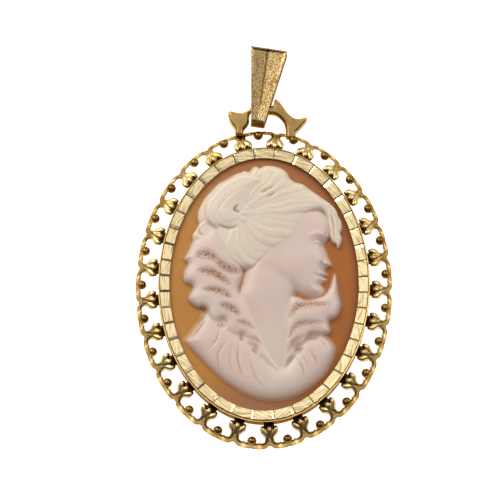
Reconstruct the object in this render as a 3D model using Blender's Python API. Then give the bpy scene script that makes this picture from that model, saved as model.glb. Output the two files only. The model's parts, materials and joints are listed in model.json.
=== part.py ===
"""Shell cameo pendant, lying on its back: carved oval, gold openwork mount and folded bail.

Metres, +Z up out of the carved face, +Y towards the bail. Sizes below are in millimetres.
"""

import math

import bmesh
import bpy
import numpy as np
from mathutils import Matrix, Vector

MM = 0.001

# Bezel: the oval frame that holds the shell
OPENING_WIDTH = 23.54
OPENING_HEIGHT = 32.2
BEZEL_WIDTH = 1.37
BEZEL_HEIGHT = 3.98
STEP_WIDTH = 0.22
STEP_DROP = 0.2
LIP_SLOPE = 0.14
LIP_THICKNESS = 0.38
WALL_THICKNESS = 0.45
BEARING_WIDTH = 0.8
BEARING_HEIGHT = 1.5
BASE_INSET = 0.75
BASE_HEIGHT = 1.8
BLOCK_COUNT = 40
CUT_WIDTH = 0.24
CUT_DEPTH = 0.16

# Gallery: the pierced border of legs, leaf heads, scalloped rim and beads
GALLERY_WIDTH = 2.85
UNIT_COUNT = 25
UNIT_TURN = 0.16
RIM_THICKNESS = 0.8
RIM_WIDTH = 0.56
SCALLOP = 0.07
HEAD_HEIGHT = 2.7
HEAD_HALF_WIDTH = 1.13
TAB_HALF_WIDTH = 0.8
NECK_HALF_WIDTH = 0.48
GALLERY_THICKNESS = 0.85
GALLERY_CURVE = 2.2
GALLERY_ROOT = 0.28
LEAF_RISE = 0.22
BEAD_RADIUS = 0.56
BEAD_SINK = 0.32
BEAD_SIDES = 10
BEAD_RINGS = 5

# Shell cameo
SEAT_GAP = 0.25
SHELL_DOME = 0.7
SHELL_HOLLOW = 0.9
CARVING_DEPTH = 1.5
RELIEF_CELLS = 110
RELIEF_TRIANGLES = 3800
# How high each form stands, as a share of the carving's depth, and the width of its rounded edge
BODICE_RISE, BODICE_EDGE = 0.5, 1.6
LEFT_COLLAR_RISE, LEFT_COLLAR_EDGE = 0.78, 1.3
RIGHT_COLLAR_RISE, RIGHT_COLLAR_EDGE = 0.74, 1.1
NECK_RISE, NECK_EDGE = 0.62, 2.2
HEAD_RISE, HEAD_EDGE = 0.83, 2.6
HAIR_RISE, HAIR_EDGE = 1.0, 1.7
BUN_RISE, BUN_EDGE = 0.13, 1.2
# Depth of the grooves in each form, as a share of the carving's depth, and their half width
GATHER_DEPTH, GATHER_WIDTH = 0.14, 0.38
LEFT_PLEAT_DEPTH, LEFT_PLEAT_WIDTH = 0.3, 0.6
RIGHT_PLEAT_DEPTH, RIGHT_PLEAT_WIDTH = 0.24, 0.5
STRAND_DEPTH, STRAND_WIDTH = 0.13, 0.34
# Eye socket: its place as shares of the opening's half sizes, half sizes in mm, depth as a share
SOCKET_X, SOCKET_Y = 0.54, 0.3
SOCKET_HALF_WIDTH, SOCKET_HALF_HEIGHT = 0.9, 0.55
SOCKET_DEPTH = 0.2

# Wishbone that carries the bail
WISHBONE_X = 0.44
WISHBONE_RISE = 1.06
WISHBONE_TURN = -4.0
WISHBONE_THICKNESS = 1.2
BAR_HALF_HEIGHT = 0.52
BAR_CENTRE = 1.4
BAR_LEFT = 2.2
BAR_RIGHT = 0.5
STEM_LENGTH = 0.75
# Half the wishbone's width, and how far its feet reach below its own middle line
FOOT_REACH = 5.07
FOOT_DROP = 1.4

# Bail
BAIL_LENGTH = 9.76
BAIL_TOP_WIDTH = 4.6
BAIL_BOTTOM_WIDTH = 1.65
BAIL_DEPTH = 2.8
BAIL_WALL = 0.45
BAIL_BELOW_BAR = 2.03
BAIL_LEAN = -8.7
BAIL_SHIFT = -1.04
BAIL_CORNER = 0.5
BAIL_TOP_CORNER = 0.35
BORDER_WIDTH = 0.24
PANEL_DEPTH = 0.08
CREASE_DEPTH = 0.1

# Wishbone's outline, as shares of the feet's reach across and of their drop upwards
FOOT = [
    (0.59, 0.36), (0.7, 0.19), (0.84, 0.24), (0.97, 0.4), (1.0, 0.3), (0.97, -0.21), (0.87, -0.7),
    (0.74, -1.0),
]
RIGHT_ARM_TOP = [(0.118, 1.86), (0.18, 1.77), (0.28, 1.46), (0.44, 0.82)]
RIGHT_ARM_UNDER = [(0.54, -0.86), (0.51, -0.54), (0.4, 0.0), (0.28, 0.43), (0.18, 0.66)]
LEFT_ARM_TOP = [(0.46, 0.93)]
LEFT_ARM_UNDER = [(0.54, -0.86), (0.53, -0.62), (0.46, -0.29), (0.46, 0.49)]
STEM = [0.72, 0.56]

# Carved outlines, in hundredths of the opening's half width and half height, from its centre
HAIR = [
    (-4, 92), (2, 94), (14, 93), (24, 90), (29, 84), (42, 79), (62, 68), (73, 62), (79, 53),
    (82, 43), (80, 29), (76, 32), (71, 38), (68, 49), (63, 56), (55, 56), (48, 54), (42, 47),
    (34, 37), (27, 31), (17, 27), (8, 22), (-12, 10), (-24, 11), (-35, 14), (-43, 20),
    (-49, 27), (-65, 33), (-71, 38), (-71, 46), (-69, 56), (-65, 64), (-58, 72), (-48, 79),
    (-37, 85), (-21, 90), (-11, 93),
]
BUN = [
    (-28, 70), (-43, 70), (-54, 62), (-57, 53), (-51, 46), (-38, 44), (-26, 49), (-23, 60),
]
HEAD = [
    (62, 58), (65, 47), (66, 40), (63, 34), (66, 28), (73, 19), (72, 16), (65, 13), (67, 9),
    (64, 7), (66, 4), (62, 1), (63, -4), (59, -9), (51, -11), (37, -7), (25, 2), (-8, 22),
    (4, 50), (38, 62),
]
NECK = [
    (-15, 17), (-25, -1), (-21, -17), (-12, -33), (-3, -47), (7, -60), (20, -71), (23, -53),
    (26, -27), (31, -13), (38, -5), (27, 17),
]
BODICE = [
    (-85, -44), (-76, -33), (-65, -22), (-42, -27), (-10, -44), (19, -65), (38, -44), (59, -39),
    (68, -42), (76, -50), (74, -59), (64, -71), (51, -81), (32, -89), (9, -92), (-16, -88),
    (-40, -78), (-58, -66), (-75, -54),
]
COLLAR_LEFT = [
    (-54, 49), (-69, 44), (-76, 35), (-84, 21), (-80, 16), (-85, 9), (-83, 1), (-75, -3),
    (-80, -11), (-76, -16), (-67, -21), (-52, -31), (-42, -30), (-40, -38), (-30, -42),
    (-22, -42), (-19, -49), (-10, -52), (-7, -58), (8, -66), (20, -69), (10, -60), (1, -47),
    (-7, -33), (-17, -17), (-21, -1), (-15, 17), (-31, 35),
]
COLLAR_RIGHT = [
    (20, -69), (20, -53), (22, -27), (27, -13), (45, -14), (61, -11), (70, -3), (75, 6),
    (78, -7), (81, -18), (77, -26), (68, -31), (69, -38), (62, -41), (50, -42), (45, -48),
    (34, -52), (33, -58), (26, -64),
]
# Cut grooves, each from its start through its middle to its end, in the same hundredths
STRANDS = [
    ((-23, 53), (0, 66), (25, 76)),
    ((-22, 52), (8, 60), (56, 70)),
    ((-20, 51), (17, 55), (61, 62)),
    ((-19, 50), (17, 49), (46, 52)),
    ((-20, 48), (13, 42), (40, 43)),
    ((-21, 46), (4, 34), (29, 34)),
    ((-25, 45), (-13, 29), (10, 25)),
    ((-29, 43), (-25, 26), (-7, 14)),
    ((-37, 43), (-40, 29), (-25, 15)),
    ((-31, 80), (-53, 75), (-65, 56)),
]
PLEATS_LEFT = [
    ((-27, 20), (-51, 27), (-73, 22)),
    ((-24, 7), (-51, 14), (-76, 6)),
    ((-22, -6), (-48, -3), (-70, -6)),
    ((-15, -18), (-36, -16), (-56, -20)),
    ((-8, -31), (-22, -29), (-39, -32)),
    ((1, -45), (-10, -43), (-20, -45)),
]
PLEATS_RIGHT = [
    ((25, -35), (41, -22), (73, -22)),
    ((24, -50), (41, -35), (65, -35)),
    ((24, -60), (31, -48), (42, -45)),
]
GATHERS = [
    ((-59, -29), (-68, -39), (-77, -45)),
    ((-48, -39), (-53, -48), (-61, -53)),
    ((-39, -48), (-48, -58), (-47, -71)),
    ((-25, -47), (-27, -60), (-23, -74)),
    ((34, -60), (41, -68), (42, -75)),
    ((48, -53), (54, -60), (56, -65)),
]

# Colours
GOLD = (0.83, 0.62, 0.28, 1.0)
SHELL = (0.80, 0.68, 0.58, 1.0)

HALF_WIDTH = OPENING_WIDTH / 2
HALF_HEIGHT = OPENING_HEIGHT / 2
WALL_X = HALF_WIDTH + BEZEL_WIDTH
WALL_Y = HALF_HEIGHT + BEZEL_WIDTH
BAR_Z = BAIL_DEPTH / 2


def gold():
    """Yellow gold, lightly polished."""
    return material("gold", GOLD, 0.28, 1.0)


def shell():
    """Polished carved shell."""
    return material("shell", SHELL, 0.35, 0.0)


def material(name, colour, roughness, metallic):
    found = bpy.data.materials.new(name)
    found.use_nodes = True
    shader = found.node_tree.nodes["Principled BSDF"]
    shader.inputs["Base Color"].default_value = colour
    shader.inputs["Roughness"].default_value = roughness
    shader.inputs["Metallic"].default_value = metallic
    return found


def wall_point(angle, out=0.0):
    """Point a distance out from the bezel's outer wall, at an ellipse parameter."""
    across = Vector((WALL_X * math.cos(angle), WALL_Y * math.sin(angle)))
    normal = Vector((WALL_Y * math.cos(angle), WALL_X * math.sin(angle))).normalized()
    return across + normal * out


def polar_angle(turn):
    """Ellipse parameter of the wall's point in a direction from the centre, as a share of a turn."""
    direction = turn * math.tau
    return math.atan2(WALL_X * math.sin(direction), WALL_Y * math.cos(direction))


def length_table():
    """Ellipse parameters and the lengths to them along the middle of the gallery, as shares of the whole."""
    angles = np.linspace(0.0, math.tau, 1441)
    points = np.array([wall_point(angle, GALLERY_WIDTH / 2) for angle in angles])
    steps = np.linalg.norm(np.diff(points, axis=0), axis=1)
    lengths = np.concatenate([[0.0], np.cumsum(steps)])
    return angles, lengths


LENGTH_ANGLES, LENGTHS = length_table()
PITCH = LENGTHS[-1] / UNIT_COUNT


def gallery_point(along, out):
    """Point of the gallery at a length along its middle line from the bottom, and a distance out."""
    start = LENGTHS[-1] * 0.75
    angle = np.interp((start + along) % LENGTHS[-1], LENGTHS, LENGTH_ANGLES)
    return wall_point(float(angle), out)


def spread(along_mm, out):
    """Length along the middle line that gives a real length at a distance out."""
    turned = math.tau * (out - GALLERY_WIDTH / 2)
    return along_mm * LENGTHS[-1] / (LENGTHS[-1] + turned)


def new_object(name, mesh, collection, finish=None):
    made = bpy.data.objects.new(name, mesh)
    collection.objects.link(made)
    if finish:
        mesh.materials.clear()
        mesh.materials.append(finish)
    return made


def mesh_from(form, name):
    mesh = bpy.data.meshes.new(name)
    form.to_mesh(mesh)
    form.free()
    return mesh


def flat_outline(name, outlines, thickness, collection):
    """A plate with holes: closed flat outlines, filled and thickened, as a welded mesh in metres."""
    curve = bpy.data.curves.new(name, "CURVE")
    curve.dimensions = "2D"
    curve.fill_mode = "BOTH"
    curve.extrude = thickness * MM / 2
    for outline in outlines:
        spline = curve.splines.new("POLY")
        spline.points.add(len(outline) - 1)
        for knot, point in zip(spline.points, outline):
            knot.co = (point[0] * MM, point[1] * MM, 0.0, 1.0)
        spline.use_cyclic_u = True
    drawn = new_object(name + "_outline", curve, collection)
    bpy.context.view_layer.update()
    evaluated = drawn.evaluated_get(bpy.context.evaluated_depsgraph_get())
    mesh = bpy.data.meshes.new_from_object(evaluated)
    bpy.data.objects.remove(drawn)
    form = bmesh.new()
    form.from_mesh(mesh)
    bmesh.ops.remove_doubles(form, verts=form.verts, dist=0.00001)
    bmesh.ops.recalc_face_normals(form, faces=form.faces)
    level = [face for face in form.faces if abs(face.normal.z) > 0.9]
    inner = [edge for edge in form.edges if all(face in set(level) for face in edge.link_faces)]
    bmesh.ops.beautify_fill(form, faces=level, edges=inner)
    return form


def bezel(collection):
    """The oval wall with its bearing and lip, lofted round with a cut between each two blocks."""
    top = BEZEL_HEIGHT
    lip_low = top - LIP_SLOPE
    flat = [
        (-BASE_INSET, 0.0),
        (0.0, BASE_HEIGHT),
        (0.0, top - STEP_DROP),
        (-STEP_WIDTH, top - STEP_DROP),
        (-STEP_WIDTH, top),
        (-BEZEL_WIDTH, lip_low),
        (-BEZEL_WIDTH, lip_low - LIP_THICKNESS),
        (-WALL_THICKNESS, lip_low - LIP_THICKNESS),
        (-WALL_THICKNESS, BEARING_HEIGHT),
        (-WALL_THICKNESS - BEARING_WIDTH, BEARING_HEIGHT),
        (-WALL_THICKNESS - BEARING_WIDTH, 0.0),
    ]
    cut = list(flat)
    cut[4] = (-STEP_WIDTH, top - CUT_DEPTH)
    cut[5] = (-BEZEL_WIDTH, lip_low - CUT_DEPTH)
    half_cut = CUT_WIDTH / (math.tau * math.sqrt(WALL_X * WALL_Y)) / 2
    stations = []
    for block in range(BLOCK_COUNT):
        turn = block / BLOCK_COUNT
        stations += [(turn - half_cut, flat), (turn, cut), (turn + half_cut, flat)]
    form = bmesh.new()
    rings = []
    for turn, section in stations:
        angle = polar_angle(turn + 0.5 / BLOCK_COUNT)
        ring = []
        for out, height in section:
            place = wall_point(angle, out)
            ring.append(form.verts.new((place.x * MM, place.y * MM, height * MM)))
        rings.append(ring)
    for ring, following in zip(rings, rings[1:] + rings[:1]):
        for index in range(len(ring)):
            after = (index + 1) % len(ring)
            form.faces.new((ring[index], following[index], following[after], ring[after]))
    bmesh.ops.recalc_face_normals(form, faces=form.faces)
    return new_object("bezel_ring", mesh_from(form, "bezel_ring"), collection)


def gallery_top(out):
    """Height of the gallery's upper side: nearly level at the leaf heads, then curving down to the rim."""
    share = min(max(out / GALLERY_WIDTH, 0.0), 1.0)
    return RIM_THICKNESS + (HEAD_HEIGHT - RIM_THICKNESS) * (1 - share**GALLERY_CURVE)


def hole_outline():
    """Half outline of one opening: (distance from its middle line, distance out from the wall)."""
    half = PITCH / 2
    rim = GALLERY_WIDTH - RIM_WIDTH
    leg = [
        # half width of the leg, distance out as a share of the way to the rim
        (TAB_HALF_WIDTH, 0.06),
        (HEAD_HALF_WIDTH, 0.2),
        (HEAD_HALF_WIDTH * 0.94, 0.4),
        (NECK_HALF_WIDTH * 1.35, 0.55),
        (NECK_HALF_WIDTH, 0.71),
        (NECK_HALF_WIDTH * 1.35, 0.86),
        (HEAD_HALF_WIDTH * 0.9, 0.97),
    ]
    side = [(half - spread(width, share * rim), share * rim) for width, share in leg]
    root = (half - spread(TAB_HALF_WIDTH, 0.0), -GALLERY_ROOT / 2)
    return [root] + side + [(0.0, rim)]


def gallery(collection):
    """The pierced plate: an inner edge inside the wall, a scalloped rim and one opening to each unit."""
    half_hole = hole_outline()
    hole = [(-across, out) for across, out in half_hole[:-1]] + half_hole[::-1]
    rim = [(0.0, -2.0), (0.13, 0.0), (0.38, 1.0), (0.62, 1.0), (0.87, 0.0)]
    outlines = [[], []]
    for unit in range(UNIT_COUNT):
        leg = (unit + UNIT_TURN) * PITCH
        for share, bulge in rim:
            outlines[0].append(gallery_point(leg + share * PITCH, GALLERY_WIDTH + bulge * SCALLOP))
        for share in (0.0, 0.33, 0.66):
            outlines[1].append(gallery_point(leg + share * PITCH, -GALLERY_ROOT))
        middle = leg + PITCH / 2
        outlines.append([gallery_point(middle + across, out) for across, out in hole])
    form = flat_outline("gallery_plate", outlines, 1.0, collection)
    wall = np.array([wall_point(angle) for angle in LENGTH_ANGLES])
    for corner in form.verts:
        place = np.array(corner.co[:2]) / MM
        out = float(np.linalg.norm(wall - place, axis=1).min())
        if (place[0] / WALL_X) ** 2 + (place[1] / WALL_Y) ** 2 < 1:
            out = 0.0
        top = gallery_top(out)
        under = max(top - GALLERY_THICKNESS, 0.0)
        corner.co.z = (top if corner.co.z > 0 else under) * MM
    return new_object("gallery_plate", mesh_from(form, "gallery_plate"), collection)


def leaf(form, unit):
    """Raised leaf on a leg: a three-lobed foot round a ridge that runs up the neck."""
    rim = GALLERY_WIDTH - RIM_WIDTH
    edge = [
        # half width as a share of the head's, distance out as a share of the way to the rim
        (0.45, 0.06),
        (0.88, 0.2),
        (0.62, 0.33),
        (0.3, 0.5),
        (0.22, 0.75),
        (0.5, 1.0),
    ]
    ridge = [(0.0, 0.12), (0.0, 0.33), (0.0, 0.75), (0.0, 1.04)]
    middle = (unit + UNIT_TURN) * PITCH

    def raised(width, share, rise):
        out = share * rim
        place = gallery_point(middle + spread(width * HEAD_HALF_WIDTH, out), out)
        return form.verts.new((place.x * MM, place.y * MM, (gallery_top(out) + rise) * MM))

    sunk = -0.3
    loops = {}
    for side in (-1, 1):
        for level, rise in (("low", sunk), ("high", 0.03)):
            loops[side, level] = [raised(side * width, share, rise) for width, share in edge]
    crest = [raised(0.0, share, LEAF_RISE) for _, share in ridge]
    low = loops[-1, "low"] + loops[1, "low"][::-1]
    high = loops[-1, "high"] + loops[1, "high"][::-1]
    for index in range(len(low)):
        after = (index + 1) % len(low)
        form.faces.new((low[index], low[after], high[after], high[index]))
    form.faces.new(low)
    joins = [(0, 0), (1, 1), (2, 1), (3, 2), (4, 2), (5, 3)]
    for side in (-1, 1):
        rail = loops[side, "high"]
        for (start, crest_start), (end, crest_end) in zip(joins, joins[1:]):
            form.faces.new((rail[start], rail[end], crest[crest_end]))
            if crest_start != crest_end:
                form.faces.new((rail[start], crest[crest_end], crest[crest_start]))
    form.faces.new((loops[-1, "high"][0], crest[0], loops[1, "high"][0]))
    form.faces.new((loops[-1, "high"][5], crest[3], loops[1, "high"][5]))


def leaves(collection):
    form = bmesh.new()
    for unit in range(UNIT_COUNT):
        leaf(form, unit)
    bmesh.ops.recalc_face_normals(form, faces=form.faces)
    return new_object("leaves", mesh_from(form, "leaves"), collection)


def beads(collection):
    """Round beads, one inside the middle of each arch of the rim."""
    form = bmesh.new()
    out = GALLERY_WIDTH - RIM_WIDTH - BEAD_RADIUS + BEAD_SINK
    height = gallery_top(out) - GALLERY_THICKNESS / 3
    for unit in range(UNIT_COUNT):
        place = gallery_point((unit + 0.5 + UNIT_TURN) * PITCH, out)
        spot = Matrix.Translation((place.x * MM, place.y * MM, height * MM))
        bmesh.ops.create_uvsphere(
            form, u_segments=BEAD_SIDES, v_segments=BEAD_RINGS, radius=BEAD_RADIUS * MM, matrix=spot
        )
    return new_object("beads", mesh_from(form, "beads"), collection)


def wishbone(collection):
    """Flat casting: a slim level bar for the bail, two sloping arms and crescent feet on short stems."""
    bar_top = BAR_CENTRE + BAR_HALF_HEIGHT
    bar_low = BAR_CENTRE - BAR_HALF_HEIGHT
    size = np.array([FOOT_REACH, FOOT_DROP])
    foot_low = STEM_LENGTH + FOOT_DROP
    stem = [(share * FOOT_REACH, -foot_low) for share in STEM]
    sides = [
        (BAR_RIGHT, RIGHT_ARM_TOP, RIGHT_ARM_UNDER),
        (BAR_LEFT, LEFT_ARM_TOP, LEFT_ARM_UNDER),
    ]
    outlines = []
    for bar_end, top, under in sides:
        before = [tuple(np.array(spot) * size) for spot in top + FOOT]
        after = [tuple(np.array(spot) * size) for spot in under]
        outlines.append([(bar_end, bar_top)] + before + stem + after + [(bar_end, bar_low)])
    right, left = outlines
    outline = right + [(-across, up) for across, up in left[::-1]]
    form = flat_outline("wishbone", [outline], WISHBONE_THICKNESS, collection)
    return new_object("wishbone", mesh_from(form, "wishbone"), collection)


def union(main, additions):
    """Joins closed shapes to the main one, into one body."""
    for addition in additions:
        joining = main.modifiers.new(addition.name, "BOOLEAN")
        joining.operation = "UNION"
        joining.object = addition
        joining.solver = "EXACT"
        addition.hide_render = True
        addition.display_type = "WIRE"


def bail_mesh(collection):
    """The folded loop in its own frame: the bar at the origin, +Y up the bail, +Z to the front."""
    low, high = -BAIL_BELOW_BAR, BAIL_LENGTH - BAIL_BELOW_BAR
    centre_line = (low + high) / 2
    half = BAIL_DEPTH / 2

    def rounded(inset, bottom_corner, top_corner):
        corners = [
            # along, depth, corner radius, first angle of its arc
            (high - inset, half - inset, top_corner, 0.0),
            (low + inset, half - inset, bottom_corner, 90.0),
            (low + inset, inset - half, bottom_corner, 180.0),
            (high - inset, inset - half, top_corner, 270.0),
        ]
        points = []
        for along, depth, radius, first in corners:
            along -= math.copysign(radius, along - centre_line)
            depth -= math.copysign(radius, depth)
            for step in range(4):
                angle = math.radians(first + step * 30.0)
                turned = Vector((math.cos(angle), math.sin(angle))) * radius
                points.append(Vector((along, depth)) + turned)
        return points

    outer = rounded(0.0, BAIL_CORNER, BAIL_TOP_CORNER)
    inner = rounded(BAIL_WALL, BAIL_WALL / 3, BAIL_WALL / 3)
    form = flat_outline("bail", [outer, inner], 1.0, collection)
    for corner in form.verts:
        along, depth, across = corner.co
        share = (along / MM - low) / BAIL_LENGTH
        width = BAIL_BOTTOM_WIDTH + (BAIL_TOP_WIDTH - BAIL_BOTTOM_WIDTH) * share
        corner.co = (math.copysign(width / 2 * MM, across), along, depth)
    bmesh.ops.dissolve_limit(form, angle_limit=0.01, verts=form.verts, edges=form.edges)
    front = [face for face in form.faces if face.normal.z > 0.99 and face.calc_center_median().z > 0]
    bmesh.ops.inset_region(form, faces=front, thickness=BORDER_WIDTH * MM, depth=-PANEL_DEPTH * MM)
    cut = bmesh.ops.bisect_plane(
        form, geom=front + list({edge for face in front for edge in face.edges}),
        plane_co=(0, 0, 0), plane_no=(1, 0, 0),
    )
    for part in cut["geom_cut"]:
        if isinstance(part, bmesh.types.BMVert):
            part.co.z -= CREASE_DEPTH * MM
    bmesh.ops.recalc_face_normals(form, faces=form.faces)
    return mesh_from(form, "bail")


def carved(points):
    """Places in mm of points given in hundredths of the opening."""
    return np.array(points, float) * (HALF_WIDTH, HALF_HEIGHT) / 100


def smooth_outline(points, per_span=4):
    """Closed smooth curve through a few chosen points."""
    knots = carved(points)
    before, after, beyond = np.roll(knots, 1, 0), np.roll(knots, -1, 0), np.roll(knots, -2, 0)
    steps = np.linspace(0.0, 1.0, per_span, endpoint=False)[:, None, None]
    curve = (
        2 * knots
        + (after - before) * steps
        + (2 * before - 5 * knots + 4 * after - beyond) * steps**2
        + (3 * knots - before - 3 * after + beyond) * steps**3
    ) / 2
    return curve.transpose(1, 0, 2).reshape(-1, 2)


def stretch_distance(across, up, start, end):
    """Distance of each place from one straight stretch."""
    run, rise = end - start
    share = ((across - start[0]) * run + (up - start[1]) * rise) / max(run * run + rise * rise, 1e-9)
    share = np.clip(share, 0.0, 1.0)
    return np.hypot(across - start[0] - share * run, up - start[1] - share * rise)


def inside_depth(across, up, points):
    """Distance of each place inside a carved outline, negative outside it."""
    outline = smooth_outline(points)
    nearest = np.full(across.shape, np.inf)
    inside = np.zeros(across.shape, bool)
    for start, end in zip(outline, np.roll(outline, -1, 0)):
        nearest = np.minimum(nearest, stretch_distance(across, up, start, end))
        if start[1] != end[1]:
            straddles = (start[1] > up) != (end[1] > up)
            crossing = start[0] + (end[0] - start[0]) * (up - start[1]) / (end[1] - start[1])
            inside ^= straddles & (across < crossing)
    return np.where(inside, nearest, -nearest)


def raised(depth, rise, width):
    """Height of a form that is rounded over for a width inside its outline, then level."""
    share = np.clip(depth / width, 0.0, 1.0)
    return rise * CARVING_DEPTH * np.sqrt(1 - (1 - share) ** 2)


def groove(across, up, knots, width):
    """How far into a groove each place lies, from 0 to 1, along a curve through three points."""
    start, middle, end = carved(knots)
    control = 2 * middle - (start + end) / 2
    steps = np.linspace(0.0, 1.0, 9)[:, None]
    spots = (1 - steps) ** 2 * start + 2 * steps * (1 - steps) * control + steps**2 * end
    nearest = np.full(across.shape, np.inf)
    for first, second in zip(spots, spots[1:]):
        nearest = np.minimum(nearest, stretch_distance(across, up, first, second))
    return np.exp(-((nearest / width) ** 2))


def grooved(across, up, height, curves, depth, width):
    """A raised form with grooves cut in it."""
    for knots in curves:
        height = height - depth * CARVING_DEPTH * groove(across, up, knots, width) * (height > 0)
    return height


def carving(across, up):
    """Height of the figure above the shell's ground: bodice, collar, neck, head and hair in turn."""
    def form(points, rise, edge):
        return raised(inside_depth(across, up, points), rise, edge)

    bodice = form(BODICE, BODICE_RISE, BODICE_EDGE)
    bodice = grooved(across, up, bodice, GATHERS, GATHER_DEPTH, GATHER_WIDTH)
    left = form(COLLAR_LEFT, LEFT_COLLAR_RISE, LEFT_COLLAR_EDGE)
    left = grooved(across, up, left, PLEATS_LEFT, LEFT_PLEAT_DEPTH, LEFT_PLEAT_WIDTH)
    right = form(COLLAR_RIGHT, RIGHT_COLLAR_RISE, RIGHT_COLLAR_EDGE)
    right = grooved(across, up, right, PLEATS_RIGHT, RIGHT_PLEAT_DEPTH, RIGHT_PLEAT_WIDTH)
    neck = form(NECK, NECK_RISE, NECK_EDGE)
    head = form(HEAD, HEAD_RISE, HEAD_EDGE)
    socket = ((across - SOCKET_X * HALF_WIDTH) / SOCKET_HALF_WIDTH) ** 2
    socket = socket + ((up - SOCKET_Y * HALF_HEIGHT) / SOCKET_HALF_HEIGHT) ** 2
    head = head - SOCKET_DEPTH * CARVING_DEPTH * np.exp(-socket) * (head > 0)
    hair = form(HAIR, HAIR_RISE, HAIR_EDGE) + form(BUN, BUN_RISE, BUN_EDGE)
    hair = grooved(across, up, hair, STRANDS, STRAND_DEPTH, STRAND_WIDTH)
    return np.maximum.reduce([bodice, left, right, neck, head, hair, 0 * across])


def cameo(collection):
    """The shell oval: a domed front with the carving raised on it, and a hollowed back."""
    inset = WALL_THICKNESS + SEAT_GAP
    half_width, half_height = WALL_X - inset, WALL_Y - inset
    front = BEZEL_HEIGHT - LIP_SLOPE - LIP_THICKNESS - SEAT_GAP
    back = BEARING_HEIGHT + SEAT_GAP
    form = bmesh.new()
    bmesh.ops.create_grid(form, x_segments=RELIEF_CELLS, y_segments=RELIEF_CELLS, size=1.0)
    square = np.array([corner.co for corner in form.verts])
    across = square[:, 0] * np.sqrt(1 - square[:, 1] ** 2 / 2)
    up = square[:, 1] * np.sqrt(1 - square[:, 0] ** 2 / 2)
    middle = 1 - across**2 - up**2
    across, up = across * half_width, up * half_height
    front_height = front + SHELL_DOME * middle + carving(across, up)
    back_height = back + SHELL_HOLLOW * middle
    under = bmesh.ops.extrude_face_region(form, geom=form.faces[:], use_keep_orig=True)["geom"]
    copies = [part for part in under if isinstance(part, bmesh.types.BMVert)]
    form.verts.ensure_lookup_table()
    for index, height in enumerate(front_height):
        form.verts[index].co = (across[index] * MM, up[index] * MM, height * MM)
    for index, corner in enumerate(copies):
        corner.co = (across[index] * MM, up[index] * MM, back_height[index] * MM)
    bmesh.ops.recalc_face_normals(form, faces=form.faces)
    oval = new_object("cameo", mesh_from(form, "cameo"), collection, shell())
    thinned = oval.modifiers.new("fewer_faces", "DECIMATE")
    thinned.use_collapse_triangulate = True
    thinned.ratio = RELIEF_TRIANGLES / (4 * RELIEF_CELLS**2)
    return oval


def wishbone_place():
    """Where the wishbone's own frame lies, from the opening's centre, and how it is turned."""
    place = Vector((WISHBONE_X, WALL_Y + GALLERY_WIDTH + WISHBONE_RISE))
    return place, Matrix.Rotation(math.radians(WISHBONE_TURN), 2)


def bar_place():
    """The point of the wishbone's bar that the bail swings about, from the opening's centre."""
    place, turned = wishbone_place()
    return place + turned @ Vector((BAIL_SHIFT, BAR_CENTRE))


def middle():
    """How far up from the opening's centre the whole pendant's middle lies, which is the origin."""
    lean = math.radians(BAIL_LEAN)
    above = (BAIL_LENGTH - BAIL_BELOW_BAR) * math.cos(lean) + BAIL_TOP_WIDTH / 2 * abs(math.sin(lean))
    return (bar_place().y + above - WALL_Y - GALLERY_WIDTH - SCALLOP) / 2


def main():
    for old in list(bpy.data.objects):
        bpy.data.objects.remove(old)
    parts = bpy.data.collections.new("cameo_pendant")
    shapes = bpy.data.collections.new("joined_shapes")
    bpy.context.scene.collection.children.link(parts)
    bpy.context.scene.collection.children.link(shapes)
    centre = bpy.data.objects.new("opening_centre", None)
    centre.location.y = -middle() * MM
    parts.objects.link(centre)

    setting = bezel(parts)
    setting.name = "setting"
    setting.data.materials.append(gold())
    arch = wishbone(shapes)
    place, _ = wishbone_place()
    arch.location = (place.x * MM, place.y * MM, BAR_Z * MM)
    arch.rotation_euler.z = math.radians(WISHBONE_TURN)
    border = [gallery(shapes), leaves(shapes), beads(shapes), arch]
    union(setting, border)

    loop = new_object("bail", bail_mesh(shapes), parts, gold())
    bar = bar_place()
    loop.location = (bar.x * MM, bar.y * MM, BAR_Z * MM)
    loop.rotation_euler.z = math.radians(BAIL_LEAN)
    for piece in [setting, cameo(parts), loop] + border:
        piece.parent = centre


main()
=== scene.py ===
"""Looks of a carved shell cameo pendant in a gold openwork mount: carving, engraving, finishes and studio.

Sizes are in millimetres, and meshes are scaled to metres when they are finished.
"""

import json
import math

import bmesh
import bpy
import numpy as np
from mathutils import Matrix, Vector, noise


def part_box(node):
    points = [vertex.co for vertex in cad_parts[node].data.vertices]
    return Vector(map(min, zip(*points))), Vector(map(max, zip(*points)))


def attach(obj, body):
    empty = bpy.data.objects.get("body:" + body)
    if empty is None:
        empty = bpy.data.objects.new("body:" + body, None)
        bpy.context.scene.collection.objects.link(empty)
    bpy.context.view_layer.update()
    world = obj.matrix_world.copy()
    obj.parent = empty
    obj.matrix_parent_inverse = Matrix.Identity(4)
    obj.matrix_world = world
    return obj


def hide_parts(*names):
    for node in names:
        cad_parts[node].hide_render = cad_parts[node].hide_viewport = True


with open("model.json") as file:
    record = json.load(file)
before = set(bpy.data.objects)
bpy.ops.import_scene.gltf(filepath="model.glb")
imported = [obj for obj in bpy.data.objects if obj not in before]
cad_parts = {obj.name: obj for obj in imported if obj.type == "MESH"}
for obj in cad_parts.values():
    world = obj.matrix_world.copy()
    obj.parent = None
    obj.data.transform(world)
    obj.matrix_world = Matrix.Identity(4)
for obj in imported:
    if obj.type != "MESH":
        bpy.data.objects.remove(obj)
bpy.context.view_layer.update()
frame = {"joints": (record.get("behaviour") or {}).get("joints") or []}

MM = 0.001

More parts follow.
